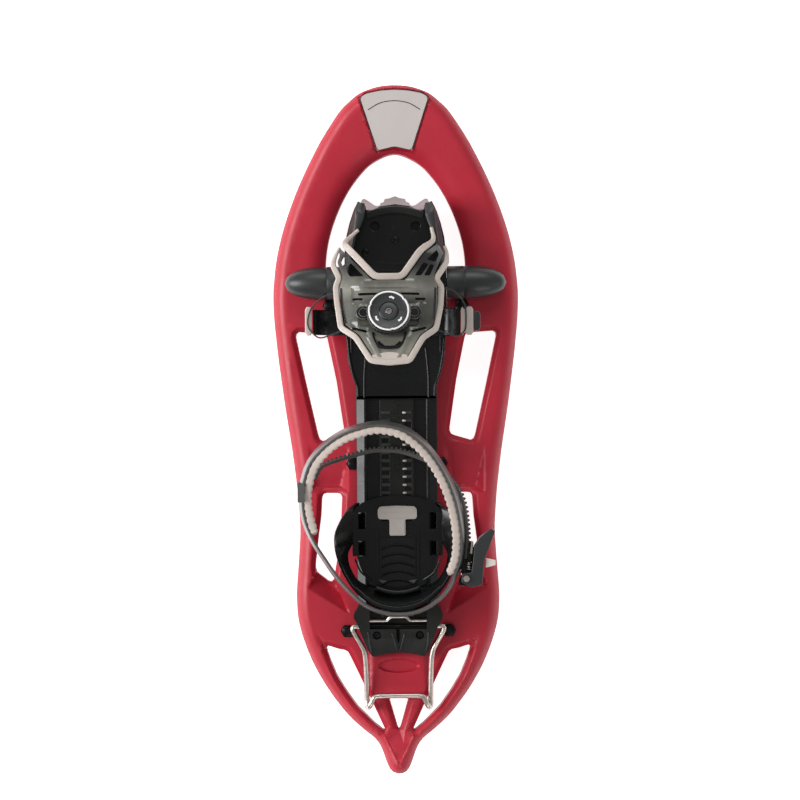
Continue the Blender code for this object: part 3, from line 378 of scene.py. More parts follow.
def inside(loop, spots):
    """Even-odd test of the spots against one loop."""
    hit = np.zeros(len(spots), bool)
    x, y = spots.T
    for a, b in zip(loop, np.roll(loop, -1, axis=0)):
        crosses = (a[1] > y) != (b[1] > y)
        at_x = (b[0] - a[0]) * (y - a[1]) / (b[1] - a[1] + 1e-12) + a[0]
        hit ^= crosses & (x < at_x)
    return hit


def lattice(xs, ys):
    return np.array([(x, y) for x in xs for y in ys], float)


def kept_inside(spots, loops):
    """The spots inside the first loop and outside the others, which are its holes."""
    spots = spots[inside(loops[0], spots)]
    for hole in loops[1:]:
        spots = spots[~inside(hole, spots)]
    return spots


def neighbours(rows, index):
    """The rows before and after this one, or the row itself at an end."""
    return rows[max(0, index - 1)], rows[min(len(rows) - 1, index + 1)]


def soft_step(value, low_edge, high_edge):
    t = np.clip((value - low_edge) / (high_edge - low_edge), 0, 1)
    return t * t * (3 - 2 * t)


# ---------------------------------------------------------------- solids


def merged(*solids):
    """One solid out of several, which may run into each other."""
    points = []
    faces = []
    for verts, polygons in solids:
        start = len(points)
        points += [tuple(map(float, point)) for point in verts]
        faces += [tuple(start + i for i in polygon) for polygon in polygons]
    return points, faces


def moved(solid, place):
    points, faces = solid
    return [place(*point) for point in points], faces


def filled(loops, extra):
    """Triangles of the area on the left of every loop, with extra points inside it."""
    spots = [Vector(point) for loop in loops for point in loop]
    edges = []
    start = 0
    for loop in loops:
        edges += [(start + i, start + (i + 1) % len(loop)) for i in range(len(loop))]
        start += len(loop)
    spots += [Vector(point) for point in extra]
    flat, _, triangles, origins, _, _ = delaunay_2d_cdt(spots, edges, [], 0, 1e-5)
    number = {old: new for new, olds in enumerate(origins) for old in olds}
    border = {(number[a], number[b]) for a, b in edges}
    owner = {(t[k], t[(k + 1) % 3]): t for t in triangles for k in range(3)}
    kept = set()
    waiting = [tuple(owner[edge]) for edge in border]
    while waiting:
        triangle = waiting.pop()
        if triangle in kept:
            continue
        kept.add(triangle)
        for k in range(3):
            a, b = triangle[k], triangle[(k + 1) % 3]
            if (a, b) not in border and (b, a) not in border:
                waiting.append(tuple(owner[b, a]))
    return np.array([tuple(p) for p in flat]), sorted(kept), sorted(border)


def slab(outline, holes, top, bottom, extra=()):
    """Solid between two height functions of an array of spots, over an outline with holes."""
    loops = [turned_to(outline, True)] + [turned_to(hole, False) for hole in holes]
    flat, triangles, border = filled(loops, extra)
    count = len(flat)
    upper = np.column_stack([flat, top(flat)])
    under = np.column_stack([flat, bottom(flat)])
    faces = [tuple(t) for t in triangles]
    faces += [tuple(i + count for i in reversed(t)) for t in triangles]
    faces += [(a + count, b + count, b, a) for a, b in border]
    return np.vstack([upper, under]), faces


def prism(outline, low_z, high_z, holes=()):
    """Solid between two levels over an outline."""
    if holes:
        return slab(outline, holes, lambda p: np.full(len(p), high_z), lambda p: np.full(len(p), low_z))
    count = len(outline)
    points = [(x, y, z) for z in (low_z, high_z) for x, y in outline]
    faces = [tuple(range(count)), tuple(range(count, 2 * count))]
    faces += [(i, (i + 1) % count, (i + 1) % count + count, i + count) for i in range(count)]
    return points, faces


def block(x, y, z):
    return prism([(x[0], y[0]), (x[1], y[0]), (x[1], y[1]), (x[0], y[1])], z[0], z[1])


def twin_blocks(x, half, y, z):
    """Blocks of this half width round x and round -x."""
    return [block((side * x - half, side * x + half), y, z) for side in SIDES]


def turned(profile, sides, reach=None, ring=False):
    """Turns a (radius, height) profile round +Z; reach may change a radius from side to side."""
    points = []
    rows = []
    for radius, height in profile:
        if radius < 1e-6:
            rows.append([len(points)] * sides)
            points.append((0.0, 0.0, height))
            continue
        rows.append(list(range(len(points), len(points) + sides)))
        for side in range(sides):
            angle = 2 * math.pi * side / sides
            r = reach(angle, radius) if reach else radius
            points.append((r * math.cos(angle), r * math.sin(angle), height))
    faces = []
    pairs = list(zip(rows, rows[1:])) + ([(rows[-1], rows[0])] if ring else [])
    for lower, upper in pairs:
        for side in range(sides):
            after = (side + 1) % sides
            corners = [lower[side], lower[after], upper[after], upper[side]]
            face = [corner for i, corner in enumerate(corners) if corner != corners[i - 1]]
            if len(face) > 2:
                faces.append(tuple(face))
    return points, faces


def lofted(sections, closed=False):
    """Skins a run of sections that have the same number of corners."""
    size = len(sections[0])
    points = [corner for section in sections for corner in section]
    faces = []
    for index in range(len(sections) if closed else len(sections) - 1):
        here, there = index * size, (index + 1) % len(sections) * size
        for corner in range(size):
            after = (corner + 1) % size
            faces.append((here + corner, here + after, there + after, there + corner))
    if not closed:
        faces.append(tuple(range(size)))
        faces.append(tuple(range(len(points) - size, len(points))))
    return points, faces


def swept(path, section, closed=False, up=(0, 0, 1)):
    """Sweeps (side, up) corners along a path; the section may be a function of the point's number."""
    path = np.array(path, float)
    count = len(path)
    sections = []
    for index, point in enumerate(path):
        before = path[index - 1] if closed or index else path[0]
        after = path[(index + 1) % count] if closed or index < count - 1 else path[-1]
        along = (after - before) / np.linalg.norm(after - before)
        side = np.cross(along, up)
        side /= np.linalg.norm(side)
        rise = np.cross(side, along)
        corners = section(index) if callable(section) else section
        sections.append([point + side * a + rise * b for a, b in corners])
    return lofted(sections, closed)


def bar_section(width, height, radius, steps=3):
    """Rectangle with round corners."""
    made = []
    for cx, cy, start in ((1, -1, -90), (1, 1, 0), (-1, 1, 90), (-1, -1, 180)):
        for step in range(steps + 1):
            angle = math.radians(start + 90 * step / steps)
            made.append((cx * (width / 2 - radius) + radius * math.cos(angle),
                         cy * (height / 2 - radius) + radius * math.sin(angle)))
    return made


def across(x, y, z, turn=1):
    """Frame whose own +Z runs along X."""
    return lambda u, v, w: (x + turn * w, y + u, z + turn * v)


def at(x, y, z):
    return lambda u, v, w: (x + u, y + v, z + w)


def edgewise(u, v, w):
    """Turns a prism drawn in (x, z) so that its length runs along Y."""
    return (u, w, v)


def bead(route, steps, *size):
    """Thin bar along a curve; the size is bar_section's."""
    return swept(spline(route, steps), bar_section(*size))


# ---------------------------------------------------------------- pieces


def softened(obj, width, segments=2):
    """Rounds the sharp edges and keeps the flats flat."""
    if width:
        bevel = obj.modifiers.new("bevel", "BEVEL")
        bevel.width = width * MM
        bevel.segments = segments
        bevel.limit_method = "ANGLE"
        bevel.angle_limit = SHARP
        bevel.harden_normals = True


def welded(obj):
    obj.modifiers.new("weld", "WELD").merge_threshold = WELD_GAP


def shown(name, data, location=(0, 0, 0)):
    """New object in the scene."""
    obj = bpy.data.objects.new(name, data)
    obj.location = location
    bpy.context.scene.collection.objects.link(obj)
    return obj


def piece(name, solid, finish, body, nodes=(), bevel=0.0, sharp=None):
    """A shown mesh that rides on a CAD body and stands for CAD nodes."""
    points, faces = solid
    mesh = bpy.data.meshes.new(name)
    mesh.from_pydata([Vector(point) * MM for point in points], [], faces)
    shape = bmesh.new()
    shape.from_mesh(mesh)
    bmesh.ops.recalc_face_normals(shape, faces=shape.faces)
    shape.to_mesh(mesh)
    shape.free()
    mesh.shade_smooth()
    if sharp is not None:
        mesh.set_sharp_from_angle(angle=math.radians(sharp))
    mesh.materials.append(MATERIALS[finish])
    obj = shown(name, mesh)
    softened(obj, bevel)
    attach(obj, body)
    if nodes:
        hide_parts(*nodes)
    return obj


def dressed(node, finish, bevel=0.0, segments=2):
    """A CAD node that stays, with its material, joined corners and softened edges."""
    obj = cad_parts[node]
    obj.data.materials.clear()
    obj.data.materials.append(MATERIALS[finish])
    if "custom_normal" in obj.data.attributes:
        obj.data.attributes.remove(obj.data.attributes["custom_normal"])
    obj.data.shade_smooth()
    welded(obj)
    softened(obj, bevel, segments)
    if not bevel:
        obj.modifiers.new("split", "EDGE_SPLIT").split_angle = SHARP


# ---------------------------------------------------------------- deck


def deck_outline():
    right = [
        (0, 292), (14, 290.9), (29.5, 285.7), (37.5, 279.1), (45.2, 272.4), (54.6, 259.1), (63.1, 246),
        (73.8, 226.1), (83.2, 206.4), (91.3, 186), (97.7, 166), (102.4, 145), (105.1, 118), (104.3, 95),
        (101, 63), (95.6, 22), (89.2, -19), (85.2, -52), (83, -84), (84.7, -110), (87.1, -141),
        (85.8, -162), (80.1, -182), (71.3, -202.9), (59.7, -222.3), (44, -242.6), (29.9, -255.2),
        (20.5, -262), (15.4, -268.8), (10.7, -282.3), (7.8, -288.6), (4, -291.4), (0, -292),
    ]
    return mirrored(right)


def deck_windows():
    """Nose opening, tail triangle, and the front, middle and rear window of each side."""
    nose = mirrored([
        (0, 235.8), (9, 233.6), (22.6, 226.1), (34.5, 212.6), (42.7, 200), (49.5, 186), (54.6, 172),
        (58, 159), (59.7, 145), (60, 131), (60, 126), (43.6, 126), (43.6, 84),
    ])
    front = [(60.5, 83.5), (84.5, 85), (86, 82), (77.7, 43), (67.2, -4), (65, -9), (46.5, -3.5),
             (44.9, 0.5), (51.2, 43), (58.8, 80)]
    middle = [(47, -55), (49, -53), (62.5, -53), (64.3, -56), (65.3, -73), (68, -94), (70.5, -116),
              (69.5, -121), (58, -130), (55, -128.5), (51, -105), (48, -75)]
    rear = [(44, -187.5), (52, -186), (60.5, -183), (61.8, -186), (58.4, -196), (52.5, -210),
            (44.8, -222.3), (35, -235.8), (21, -249.4), (12.5, -256.2), (11.6, -255), (14.7, -248.5),
            (27, -222), (36, -203), (42.3, -190)]
    tail = [(-8.5, -228.2), (8.5, -228.2), (0.6, -255.2), (-0.6, -255.2)]
    windows = [front, middle, rear]
    windows += [flipped(window) for window in windows]
    return [rounded(nose, 9.0, 4), rounded(tail, 0.9)] + [rounded(window, 1.5) for window in windows]


def rise(y, nose, tail):
    """How far the upturned nose and tail lift a level of the deck."""
    front = np.clip((y - NOSE_BEND) / (NOSE_TIP - NOSE_BEND), 0, 1)
    back = np.clip((TAIL_BEND - y) / (TAIL_BEND - TAIL_TIP), 0, 1)
    return nose * front**1.7 + tail * back**1.6


def ramp_up(value, reach):
    return np.clip(value / reach, 0, 1)


def dish(x, y):
    """Faceted trough across each bridge beside the middle of the plate."""
    side = 1 - np.abs((np.abs(x) - 58) / 17)
    front, back = (y + 53) / 6, (-11 - y) / 34
    return 7.5 * np.clip(np.minimum(np.minimum(side * 2.4, front), back), 0, 1)


def beyond(x, y, start, end):
    """Distance of the spots to the left of the line from start to end."""
    along = np.array(end) - np.array(start)
    along = along / np.linalg.norm(along)
    return (y - start[1]) * along[0] - (x - start[0]) * along[1]


def pocket(x, y):
    """The steep pocket behind each middle window, and the wedge that leads to each rear window."""
    x = np.abs(x)
    above = beyond(x, y, POCKET_CORNER, (77, -134.5))
    outside = beyond(x, y, (52.5, -128), POCKET_CORNER)
    inner = beyond(x, y, (77, -134.5), (69.5, -119))
    depth = 0.85 * np.clip(above, 0, 11) * ramp_up(outside, 1.6) * ramp_up(inner, 1.6)
    wedge = np.minimum(beyond(x, y, (72, -169), (60.5, -183)), beyond(x, y, (63.5, -189), (72, -169)))
    return depth + 0.9 * np.clip(wedge, 0, 3) * ramp_up(y + 191, 2)


def label_recess(grow):
    """Outline of the recess for the nose label, larger all round by this much."""
    return [(-30 - grow, 281), (-24, 285.3 + grow), (-12, 287.6 + grow), (0, 288.4 + grow),
            (12, 287.6 + grow), (24, 285.3 + grow), (30 + grow, 281),
            (15.4 + grow, 236.4 - grow), (0, 239.8 - grow), (-15.4 - grow, 236.4 - grow)]


def tail_crease(x, y):
    """The drop between the raised edges that run down both tail rails and meet in a V."""
    fold = np.abs(x) - np.clip((y - CREASE_FOOT) * CREASE_SLOPE, 0, 14)
    zone = soft_step(-y, 248, 256) * soft_step(y, -289, -283)
    return 1.2 * soft_step(-fold, -0.6, 0.6) * zone


def deck_top(spots, rim, gap, nose):
    """Top of the deck, from each spot's distance to the rim, to the windows and to the nose opening."""
    x, y = spots.T
    height = DECK_TOP + rise(y, *TOP_RISE) - dish(x, y) - pocket(x, y) - tail_crease(x, y)
    rim_slope = 9.0 * np.maximum(0, 1 - rim / 10.0) ** 1.9
    window_slope = np.clip(4.0 - gap, 0, 4)
    nose_slope = 7.0 * np.maximum(0, 1 - nose / 16.0) ** 2.2
    height -= rim_slope + window_slope + nose_slope
    platform = soft_step(24.5 - np.abs(x), 0, 2) * soft_step(-188 - y, 0, 2) * soft_step(y + 225.5, 0, 2)
    oval = np.hypot(x / OVAL_HALF[0], (y - OVAL_Y) / OVAL_HALF[1])
    height += 1.6 * platform - 2.2 * platform * soft_step(1.06 - oval, 0, 0.12)
    return height - 1.5 * inside(np.array(label_recess(0.6)), spots)


def deck_bottom(spots, top_z, edge):
    """Underside of the deck: a skin with a skirt down its edges."""
    height = top_z - SKIN
    skirt = SKIRT_BOTTOM + rise(spots[:, 1], *SKIRT_RISE) + 0.9 * np.maximum(0, 1 - edge / 0.9)
    return np.where(edge < SKIRT_WIDTH + 0.3, np.minimum(skirt, height), height)


def inset_spots(loops, depths, pitch):
    """Rings of spots at these depths inside the loops' edges."""
    made = []
    for loop in loops:
        ring = spaced(loop, pitch, True)
        along = np.roll(ring, -1, axis=0) - np.roll(ring, 1, axis=0)
        along /= np.linalg.norm(along, axis=1)[:, None]
        inward = np.column_stack([-along[:, 1], along[:, 0]])
        made += [ring + inward * depth for depth in depths]
    spots = np.vstack(made)
    depth_of = np.concatenate([np.full(len(m), d) for m, d in zip(made, list(depths) * len(loops))])
    return spots[nearest(loops, spots) > depth_of - 0.2]


def ridge_spots():
    """Spots along both upper edges of each pocket, on the edge and beside it."""
    made = []
    for start, end, normal in ((POCKET_CORNER, (76, -135.1), (-0.53, 0.85)),
                               ((52, -129), POCKET_CORNER, (0.92, -0.38))):
        start, end, normal = np.array([start, end, normal], float)
        for t in np.linspace(0, 1, 25):
            for offset in (-0.3, 0.3, 1.6):
                x, y = start + (end - start) * t + normal * offset
                made += [(x, y), (-x, y)]
    return np.array(made)


def build_deck():
    """Deck shell over spots that lie closer where its top bends, with ribs and bosses below."""
    loops = [turned_to(spaced(rounded(deck_outline(), 9.0, 4), 4.0, True), True)]
    loops += [turned_to(spaced(window, 3.0, True), False) for window in deck_windows()]
    rings = inset_spots(loops, (0.9, 1.9, 3.0, 3.6, 4.2, 5.5, 7.0, 9.5), 3.0)
    coarse = lattice(np.arange(-104, 105, 4.0), np.arange(-290, 291, 4.0))
    fine = lattice(np.arange(-83, 84, 1.5), (*np.arange(-56, -4, 1.5), *np.arange(-190, -120, 1.5)))
    fine = fine[np.abs(fine[:, 0]) > 38]
    grid = kept_inside(np.vstack([coarse, fine]), loops)
    room = nearest(loops, grid)
    grid = grid[(room > 11) | (room > 4.8) & (np.abs(grid[:, 0] % 4) > 0.1)]
    oval = np.vstack([np.array(circle(f, 48)) * OVAL_HALF + (0, OVAL_Y) for f in (0.6, 0.92, 1.0, 1.08)])
    recess = [spaced(label_recess(grow), 3.0, True) for grow in (0.5, 0.7)]
    platform = lattice((-24.6, -23.4, 23.4, 24.6), np.arange(-226, -187.5, 3))
    creases = np.array([((y - CREASE_FOOT) * CREASE_SLOPE * side + offset, y)
                        for y in np.arange(CREASE_FOOT, -258, 2.0)
                        for side in (-1, 1) for offset in (-0.6, 0.6)])
    ridge = ridge_spots()
    ridge = ridge[nearest(loops, ridge) > 1.2]

    def top(spots):
        return deck_top(spots, distance_to(loops[0], spots), nearest(loops[2:], spots),
                        distance_to(loops[1], spots))

    def bottom(spots):
        return deck_bottom(spots, top(spots), nearest(loops, spots))

    extra = np.vstack([rings, grid, oval, *recess, platform, creases, ridge])
    body = slab(loops[0], loops[1:], top, bottom, extra)
    piece("deck_shell", merged(body, *deck_ribs()), "deck_red", "deck", ["deck"], sharp=38)


def deck_ribs():
    """Stiffening ribs and spike bosses on the underside."""
    low_z, high_z = 25, 40
    ribs = [block((x - 1, x + 1), (-184, 82), (low_z, high_z)) for x in (-30, -15, 0, 15, 30)]
    ribs += [block((-42, 42), (y - 1, y + 1), (low_z, high_z))
             for y in (-176, -146, -112, -78, -44, -10, 24, 58)]
    for x, half, y, z in ((66, 12, -30, 33), (66, 12, 96, 38), (58, 14, -170, 39.5)):
        ribs += twin_blocks(x, half, (y - 1, y + 1), (low_z, z))
    for x, y in spike_places():
        ribs.append(moved(turned([(0, 34.6), (7.6, 34.6), (8.4, 39.6), (0, 39.6)], 32), at(x, y, 0)))
    return ribs


def spike_places():
    return [tuple(middle(f"spike_{number}")[:2]) for number in range(1, 7)]


def build_label():
    """Plain nose label with one bowed line, and a dark line round its edge that is a painted shadow of its
    recess.
    """
    loop = turned_to(spaced(rounded(label_recess(-0.6), 1.6), 3.0, True), True)
    grid = kept_inside(lattice(range(-24, 25, 4), range(240, 286, 3)), [loop])
    grid = grid[distance_to(loop, grid) > 1.5]

    def surface(lift):
        return lambda spots: DECK_TOP + rise(spots[:, 1], *TOP_RISE) + lift

    plate = slab(loop, [], surface(0.35), surface(-0.9), grid)
    piece("label_plate", plate, "label_silver", "deck", ["nameplate"], sharp=50)
    # The black line round the edge is a painted shadow of the recess; the bowed line is print.
    border = spaced(rounded(label_recess(-0.9), 1.6), 3.0, True)
    bow = spaced(spline([(-22, 271), (-12, 276.4), (0, 278.2), (12, 276.4), (22, 271)], 6), 2.0)
    lines = []
    for path, closed in ((border, True), (bow, False)):
        path = np.column_stack([path, surface(0.42)(path)])
        lines.append(swept(path, bar_section(0.7, 0.3, 0.1, 1), closed))
    piece("label_lines", merged(*lines), "black_plastic", "deck")


def pod_solid(profile, sides, turn, inner):
    """A profile turned round the pivot, outwards from this distance, and cut flat just above the deck."""
    points, faces = moved(turned(profile, sides), across(turn * inner, PIVOT_Y, PIVOT_Z, turn))
    return [(x, y, max(z, SEAT)) for x, y, z in points], faces


def build_pods():
    """Bullet-shaped axle housings with a groove round them, and dark collars on their inner side."""
    r = POD_RADIUS
    straight, length, steps = 18.0, POD_OUTER - POD_INNER, 14
    bullet = [(0, 0), (5.5, 0), (r - 1.2, 0), (r - 0.3, 0.4), (r, 1.3), (r, 14), (r - 0.3, 14.6), (r, 15.2)]
    for step in range(steps):
        t = step / steps
        bullet.append((r * math.sqrt(1 - t**2.3), straight + (length - straight) * t))
    bullet.append((0, length))
    depth = POD_INNER - COLLAR_INNER
    collar = [(0, 0), (12.8, 0), (13.4, 0.6), (13.4, depth), (0, depth)]
    for name, turn in (("right", 1), ("left", -1)):
        pod = pod_solid(bullet, 64, turn, POD_INNER)
        welded(piece(f"pod_{name}", pod, "charcoal_plastic", "deck", [f"pivot_pod_{name}"], sharp=35))
        ring = pod_solid(collar, 48, turn, COLLAR_INNER)
        piece(f"pod_collar_{name}", ring, "black_plastic", "deck", sharp=35)


def wire(name, route, radius, body, node, steps=6, finish="chrome"):
    """Round wire along a curve."""
    piece(name, swept(spline(route, steps), circle(radius, 16)), finish, body, [node], sharp=60)


def build_wires():
    """Heel-lift bail with its end loops, and the latch rod with a bend in its middle."""
    y, z = BAIL_AXIS
    bail = [(33.2, y, z), (37.2, y, z), (38.6, y - 1.6, z), (37.4, y - 5, z - 0.3), (30.6, -183.4, 53.4),
            (28.6, -190, 52.6), (27.7, -200, 51.5), (27.2, -216, 49.9), (27.1, -229, 48.6),
            (26.9, -233.6, 49.2), (25.8, -235, 51.2), (24, -232.5, 53.2), (21.6, -227.6, 53.6),
            (18.6, -225.6, 53.6), (9, -225.2, 53.6)]
    wire("lift_wire", mirrored(bail), BAIL_RADIUS, "heel_lift", "heel_lift_bail")
    y, z = LATCH_AXIS
    rod = [(26.6, y, z), (11.5, y, z), (9.2, y + 0.6, z + 0.1), (7.6, y + 2.2, z + 0.4),
           (5.6, y + 3.2, z + 0.6), (0, y + 3.2, z + 0.6)]
    wire("latch_wire", mirrored(rod), 1.6, "heel_latch", "latch_rod")


def build_heel_block():
    """Rest under the heel, with a rib down each rear edge and a V of two ribs between them."""
    dressed("heel_block", "strip_black", 0.6)
    ribs = []
    for side in SIDES:
        edge = [(side * 25.6, -170, 62), (side * 24.6, -180, 60.2), (side * 22.4, -189, 54.2)]
        ribs.append(bead(edge, 4, 1.2, 1.0, 0.4, 2))
        vee = [(side * 5.4, -171.4, 62.1), (side * 3.0, -180, 60.3), (side * 0.8, -187.4, 55.6)]
        ribs.append(bead(vee, 4, 1.0, 1.0, 0.35, 2))
    piece("block_ribs", merged(*ribs), "charcoal_plastic", "deck")


# ---------------------------------------------------------------- binding


def build_plate():
    """Binding plate: toe floor, hubs, leaning toe walls, railed beam and tail neck."""
    toe = [(0, 192), (12, 190.3), (20, 186.8), (24.2, 187.2), (25.8, 193), (31, 193.4), (35.4, 186),
           (38.8, 175.5), (41.6, 164), (43.1, 150), (43.1, 104), (42.2, 80), (41, 60), (38, 48),
           (34.3, 38), (34.3, 26.6), (0, 26.6)]
    x, y = TOE_SCREW
    floor = prism(mirrored(toe), FLOOR_BOTTOM, FLOOR_TOP, [circle(3.9, 24, side * x, y) for side in SIDES])
    pits = [prism(circle(4.6, 20, side * x, y), FLOOR_BOTTOM + 0.1, FLOOR_BOTTOM + 2) for side in SIDES]
    rail = [(34.3, 50), (34.3, 55.4), (27.6, 60), (25.5, 60), (25.5, 56)]
    under = [(-28, 50), (-28, 53), (28, 53), (28, 50)]
    beam = moved(prism(rail + flipped(reversed(rail)) + under, -147.2, 27), edgewise)
    neck = prism(mirrored([(0, -146), (14, -146), (14, -158.8), (8.8, -158.8), (8.2, -155.4), (0, -155.4)]),
                 51.8, 57)
    hub = turned([(0, 27), (9, 27), (9, 42.9), (0, 42.9)], 40)
    hubs = [moved(hub, across(0, PIVOT_Y, PIVOT_Z, side)) for side in SIDES]
    tabs = twin_blocks(19, 3.6, (26.6, 32), (55, 61))
    lips = twin_blocks(37.8, 0.9, (66, 128), (61, 63.2))
    rear = block((-34.2, 34.2), (26.7, 30), (59, FLOOR_TOP))
    outer = [(40.8, 78), (39.4, 62), (36.6, 48), (33, 38), (32.4, 29)]
    inner = [(25, 70), (26.4, 56), (27.2, 44), (27.2, 28)]
    ridges = []
    for side in SIDES:
        for route, foot, crest, height in ((outer, 1.5, 0.7, 1.4), (inner, 1.1, 0.5, 0.9)):
            path = spline([(side * x, y, FLOOR_TOP + 0.2) for x, y in route], 4)
            ridges.append(swept(path, [(foot, -0.4), (crest, height), (-crest, height), (-foot, -0.4)]))
    solid = merged(floor, *pits, *ridges, beam, neck, *hubs, *tabs, *lips, rear)
    piece("plate_body", solid, "black_plastic", "binding", ["binding_plate"], bevel=0.7)
    piece("toe_walls", merged(toe_wall(1), toe_wall(-1)), "charcoal_plastic", "binding", sharp=40)
    piece("toe_lip", toe_rim(), "strip_black", "binding", sharp=40)
    grip = prism(mirrored([(0, 0), (13, 1.6), (15, 3.2), (0, 1.8)]), FLOOR_TOP - 0.1, FLOOR_TOP + 0.7)
    grips = [moved(grip, at(0, y, 0)) for y in (104, 110, 116, 128, 134, 140)]
    piece("toe_grips", merged(*grips), "black_plastic", "binding", bevel=0.2)


def toe_wall(side):
    """Wall round one front corner of the toe, which swells into a hump at the front."""
    # Each station's x, y, top level, lean and thickness
    stations = spline([(42.3, 132, 66, 0.6, 2.4), (42.3, 144, 80, 2.4, 2.4), (41.7, 156, 88, 4.4, 2.8),
                       (40.1, 168, 91, 5, 4), (37.4, 178, 91, 3.6, 7), (35.1, 186, 91, 2, 8.5),
                       (31.4, 193.2, 87, 0.6, 6.5)], 6)
    base = FLOOR_BOTTOM + 1
    sections = []
    for index, (x, y, top, lean, thick) in enumerate(stations):
        before, after = neighbours(stations[:, :2], index)
        along = (after - before) / np.linalg.norm(after - before)
        edge = min(1.2, thick * 0.3)
        profile = [(0, base), (lean * 0.3 - 0.3, base + (top - base) * 0.6), (lean - 0.1, top - edge * 1.6),
                   (lean + edge * 0.4, top - edge * 0.4), (lean + edge * 1.2, top),
                   (lean + thick - edge * 1.2, top), (lean + thick - edge * 0.3, top - edge * 0.5),
                   (lean + thick, top - edge * 1.8), (1.2 + thick, base + (top - base) * 0.5),
                   (1.2 + thick, base)]
        sections.append([(side * (x - along[1] * reach), y + along[0] * reach, z) for reach, z in profile])
    return lofted(sections)


def toe_rim():
    """Bowed lip along the toe floor's front edge."""
    route = [(-23.6, 182.6, 62.6), (-12, 185.8, 63), (0, 187.3, 63.2), (12, 185.8, 63), (23.6, 182.6, 62.6)]
    return bead(route, 6, 6.4, 2.2, 0.8, 2)


def build_scale():
    """Numbers and ticks on the size strip, and the rungs of the ladder on each side of them."""
    dressed("size_scale", "strip_black", 0.25)
    top = high("size_scale")[2]
    first_size, first_y, pitch = 24, 26, 10
    ticks = []
    for index in range(7):
        name = f"size_{first_size + index}"
        y = first_y - pitch * index
        text = bpy.data.curves.new(name, "FONT")
        text.body = str(first_size + index)
        text.size = 5.4 * MM
        text.extrude = 0.05 * MM
        text.align_x = "CENTER"
        text.align_y = "CENTER"
        text.materials.append(MATERIALS["black_plastic"])
        obj = shown(name, text, Vector((0, y, top + 0.03)) * MM)
        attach(obj, "binding")
        ticks.append(block((-3.4, 3.4), (y - 5.1, y - 4.7), (top - 0.2, top + 0.2)))
    piece("size_ticks", merged(*ticks), "black_plastic", "binding")
    first_rung, rung_pitch = -66.1, 6.8
    glint = moved(prism([(-1.6, 0), (1.6, 0), (1.6, 0.7), (-1.6, 0.1)], -0.8, 0.8), edgewise)
    rungs = []
    glints = []
    for index in range(13):
        y = first_rung + rung_pitch * index
        rungs += twin_blocks(9.2, 3.6, (y - 1.1, y + 1.1), (top - 0.4, top + 0.7))
        glints.append(moved(glint, at(6.4, y - 0.2, top + 0.6)))
    piece("size_rungs", merged(*rungs), "charcoal_plastic", "binding", bevel=0.25)
    piece("size_glints", merged(*glints), "label_silver", "binding")


def build_arms():
    """Side arms with two ribs each, and the lace guides on their ends."""
    left = [(-29, 63.8), (-42, 63.8), (-49, 65), (-57.6, 71), (-64.4, 79), (-68.2, 86.4)]
    right = [(23, 63.8), (38, 63.8), (43, 65), (48, 69.6), (51.6, 76), (52.6, 83)]
    for name, route, rear, front in (("left", left, 81, 102.3), ("right", right, 80, 103.5)):
        path = [(x, (rear + front) / 2, z) for x, z in spline(route, 6)]
        arm = swept(path, bar_section(front - rear, 2.8, 0.9), up=(0.01, 0, 1))
        ribs = [bead([(x, y, z + 1.3) for x, z in route[:5]], 6, 1.4, 1.2, 0.4, 2)
                for y in (rear + 4, front - 4)]
        piece(f"arm_{name}", merged(arm, *ribs), "black_plastic", "binding", [f"side_arm_{name}"], sharp=40)
        dressed(f"lace_guide_{name}", "beige_rubber", 0.9, 3)
    dressed("guide_cap_right", "charcoal_plastic", 1.2, 3)


def build_laces():
    """Thin laces from the harness over each arm's guide and back."""
    left = [(-46.5, 113.5, 99.2), (-52.6, 115, 98.4), (-61.6, 111.6, 97), (-69.6, 104.4, 95.4),
            (-73.2, 95.5, 94.8), (-72.6, 86.6, 95), (-65.1, 78.9, 96.2), (-56.7, 79.8, 98.6),
            (-43.6, 84.6, 102)]
    right = [(33.4, 117, 101.5), (43.8, 118.4, 99), (52.9, 112.6, 96), (58, 104.2, 92.4),
             (58.8, 93.5, 91.2), (57.8, 84.4, 91.4), (52.2, 79.4, 94.6), (44, 80.6, 99), (31, 86, 106)]
    for name, route in (("left", left), ("right", right)):
        wire(f"cord_{name}", route, 0.65, "binding", f"lace_{name}", 8, "lace_black")


def saddle(spots):
    """Height of the harness over the instep: a sloping ridge that falls away at the sides and the tips."""
    x, y = spots.T[:2]
    side = np.maximum(0, np.abs(x - HARNESS_X) - 16)
    ridge = HARNESS_Z - math.tan(HARNESS_TILT) * (y - 100) - 0.02 * side**2
    tip = soft_step(y, TIP_START, TIP_START + TIP_LENGTH)
    return ridge + (TIP_Z - ridge) * tip


def upper_rim():
    return [(-30.7, 168.4), (-43.4, 156.8), (-17, 128.2), (5.5, 128.2), (21, 150.4), (32.8, 159.1),
            (30.4, 170.2)]


def lower_rim():
    return [(-46.4, 153.2), (-50.8, 144.6), (-52, 138.6), (-46.6, 127.4), (-49.6, 120.6), (-48.6, 108),
            (-45.4, 86), (-33.2, 78.2), (-20.6, 58.6), (-5.2, 56.8), (11, 58.4), (22.3, 77.4), (33.2, 84.6),
            (37.2, 104), (38.2, 120), (33.6, 126.4), (36.6, 131), (43.2, 141), (43.2, 149.5), (41.3, 154.6)]


def eased(path, reach, steps=4):
    """An open path with its corners turned into short curves."""
    loop = rounded(path, reach, steps)
    return loop[steps:len(loop) - steps]


def rim_solid(path, width, reach):
    """Rim that follows the harness and narrows towards its two ends."""
    route = spaced(eased(path, reach), 1.6)
    route[0], route[-1] = path[0], path[-1]
    last = len(route) - 1

    def section(index):
        return bar_section(width * min(1.0, 0.5 + 0.05 * min(index, last - index)), 3.4, 1.3, 4)

    return swept(np.column_stack([route, saddle(route) + 0.5]), section)


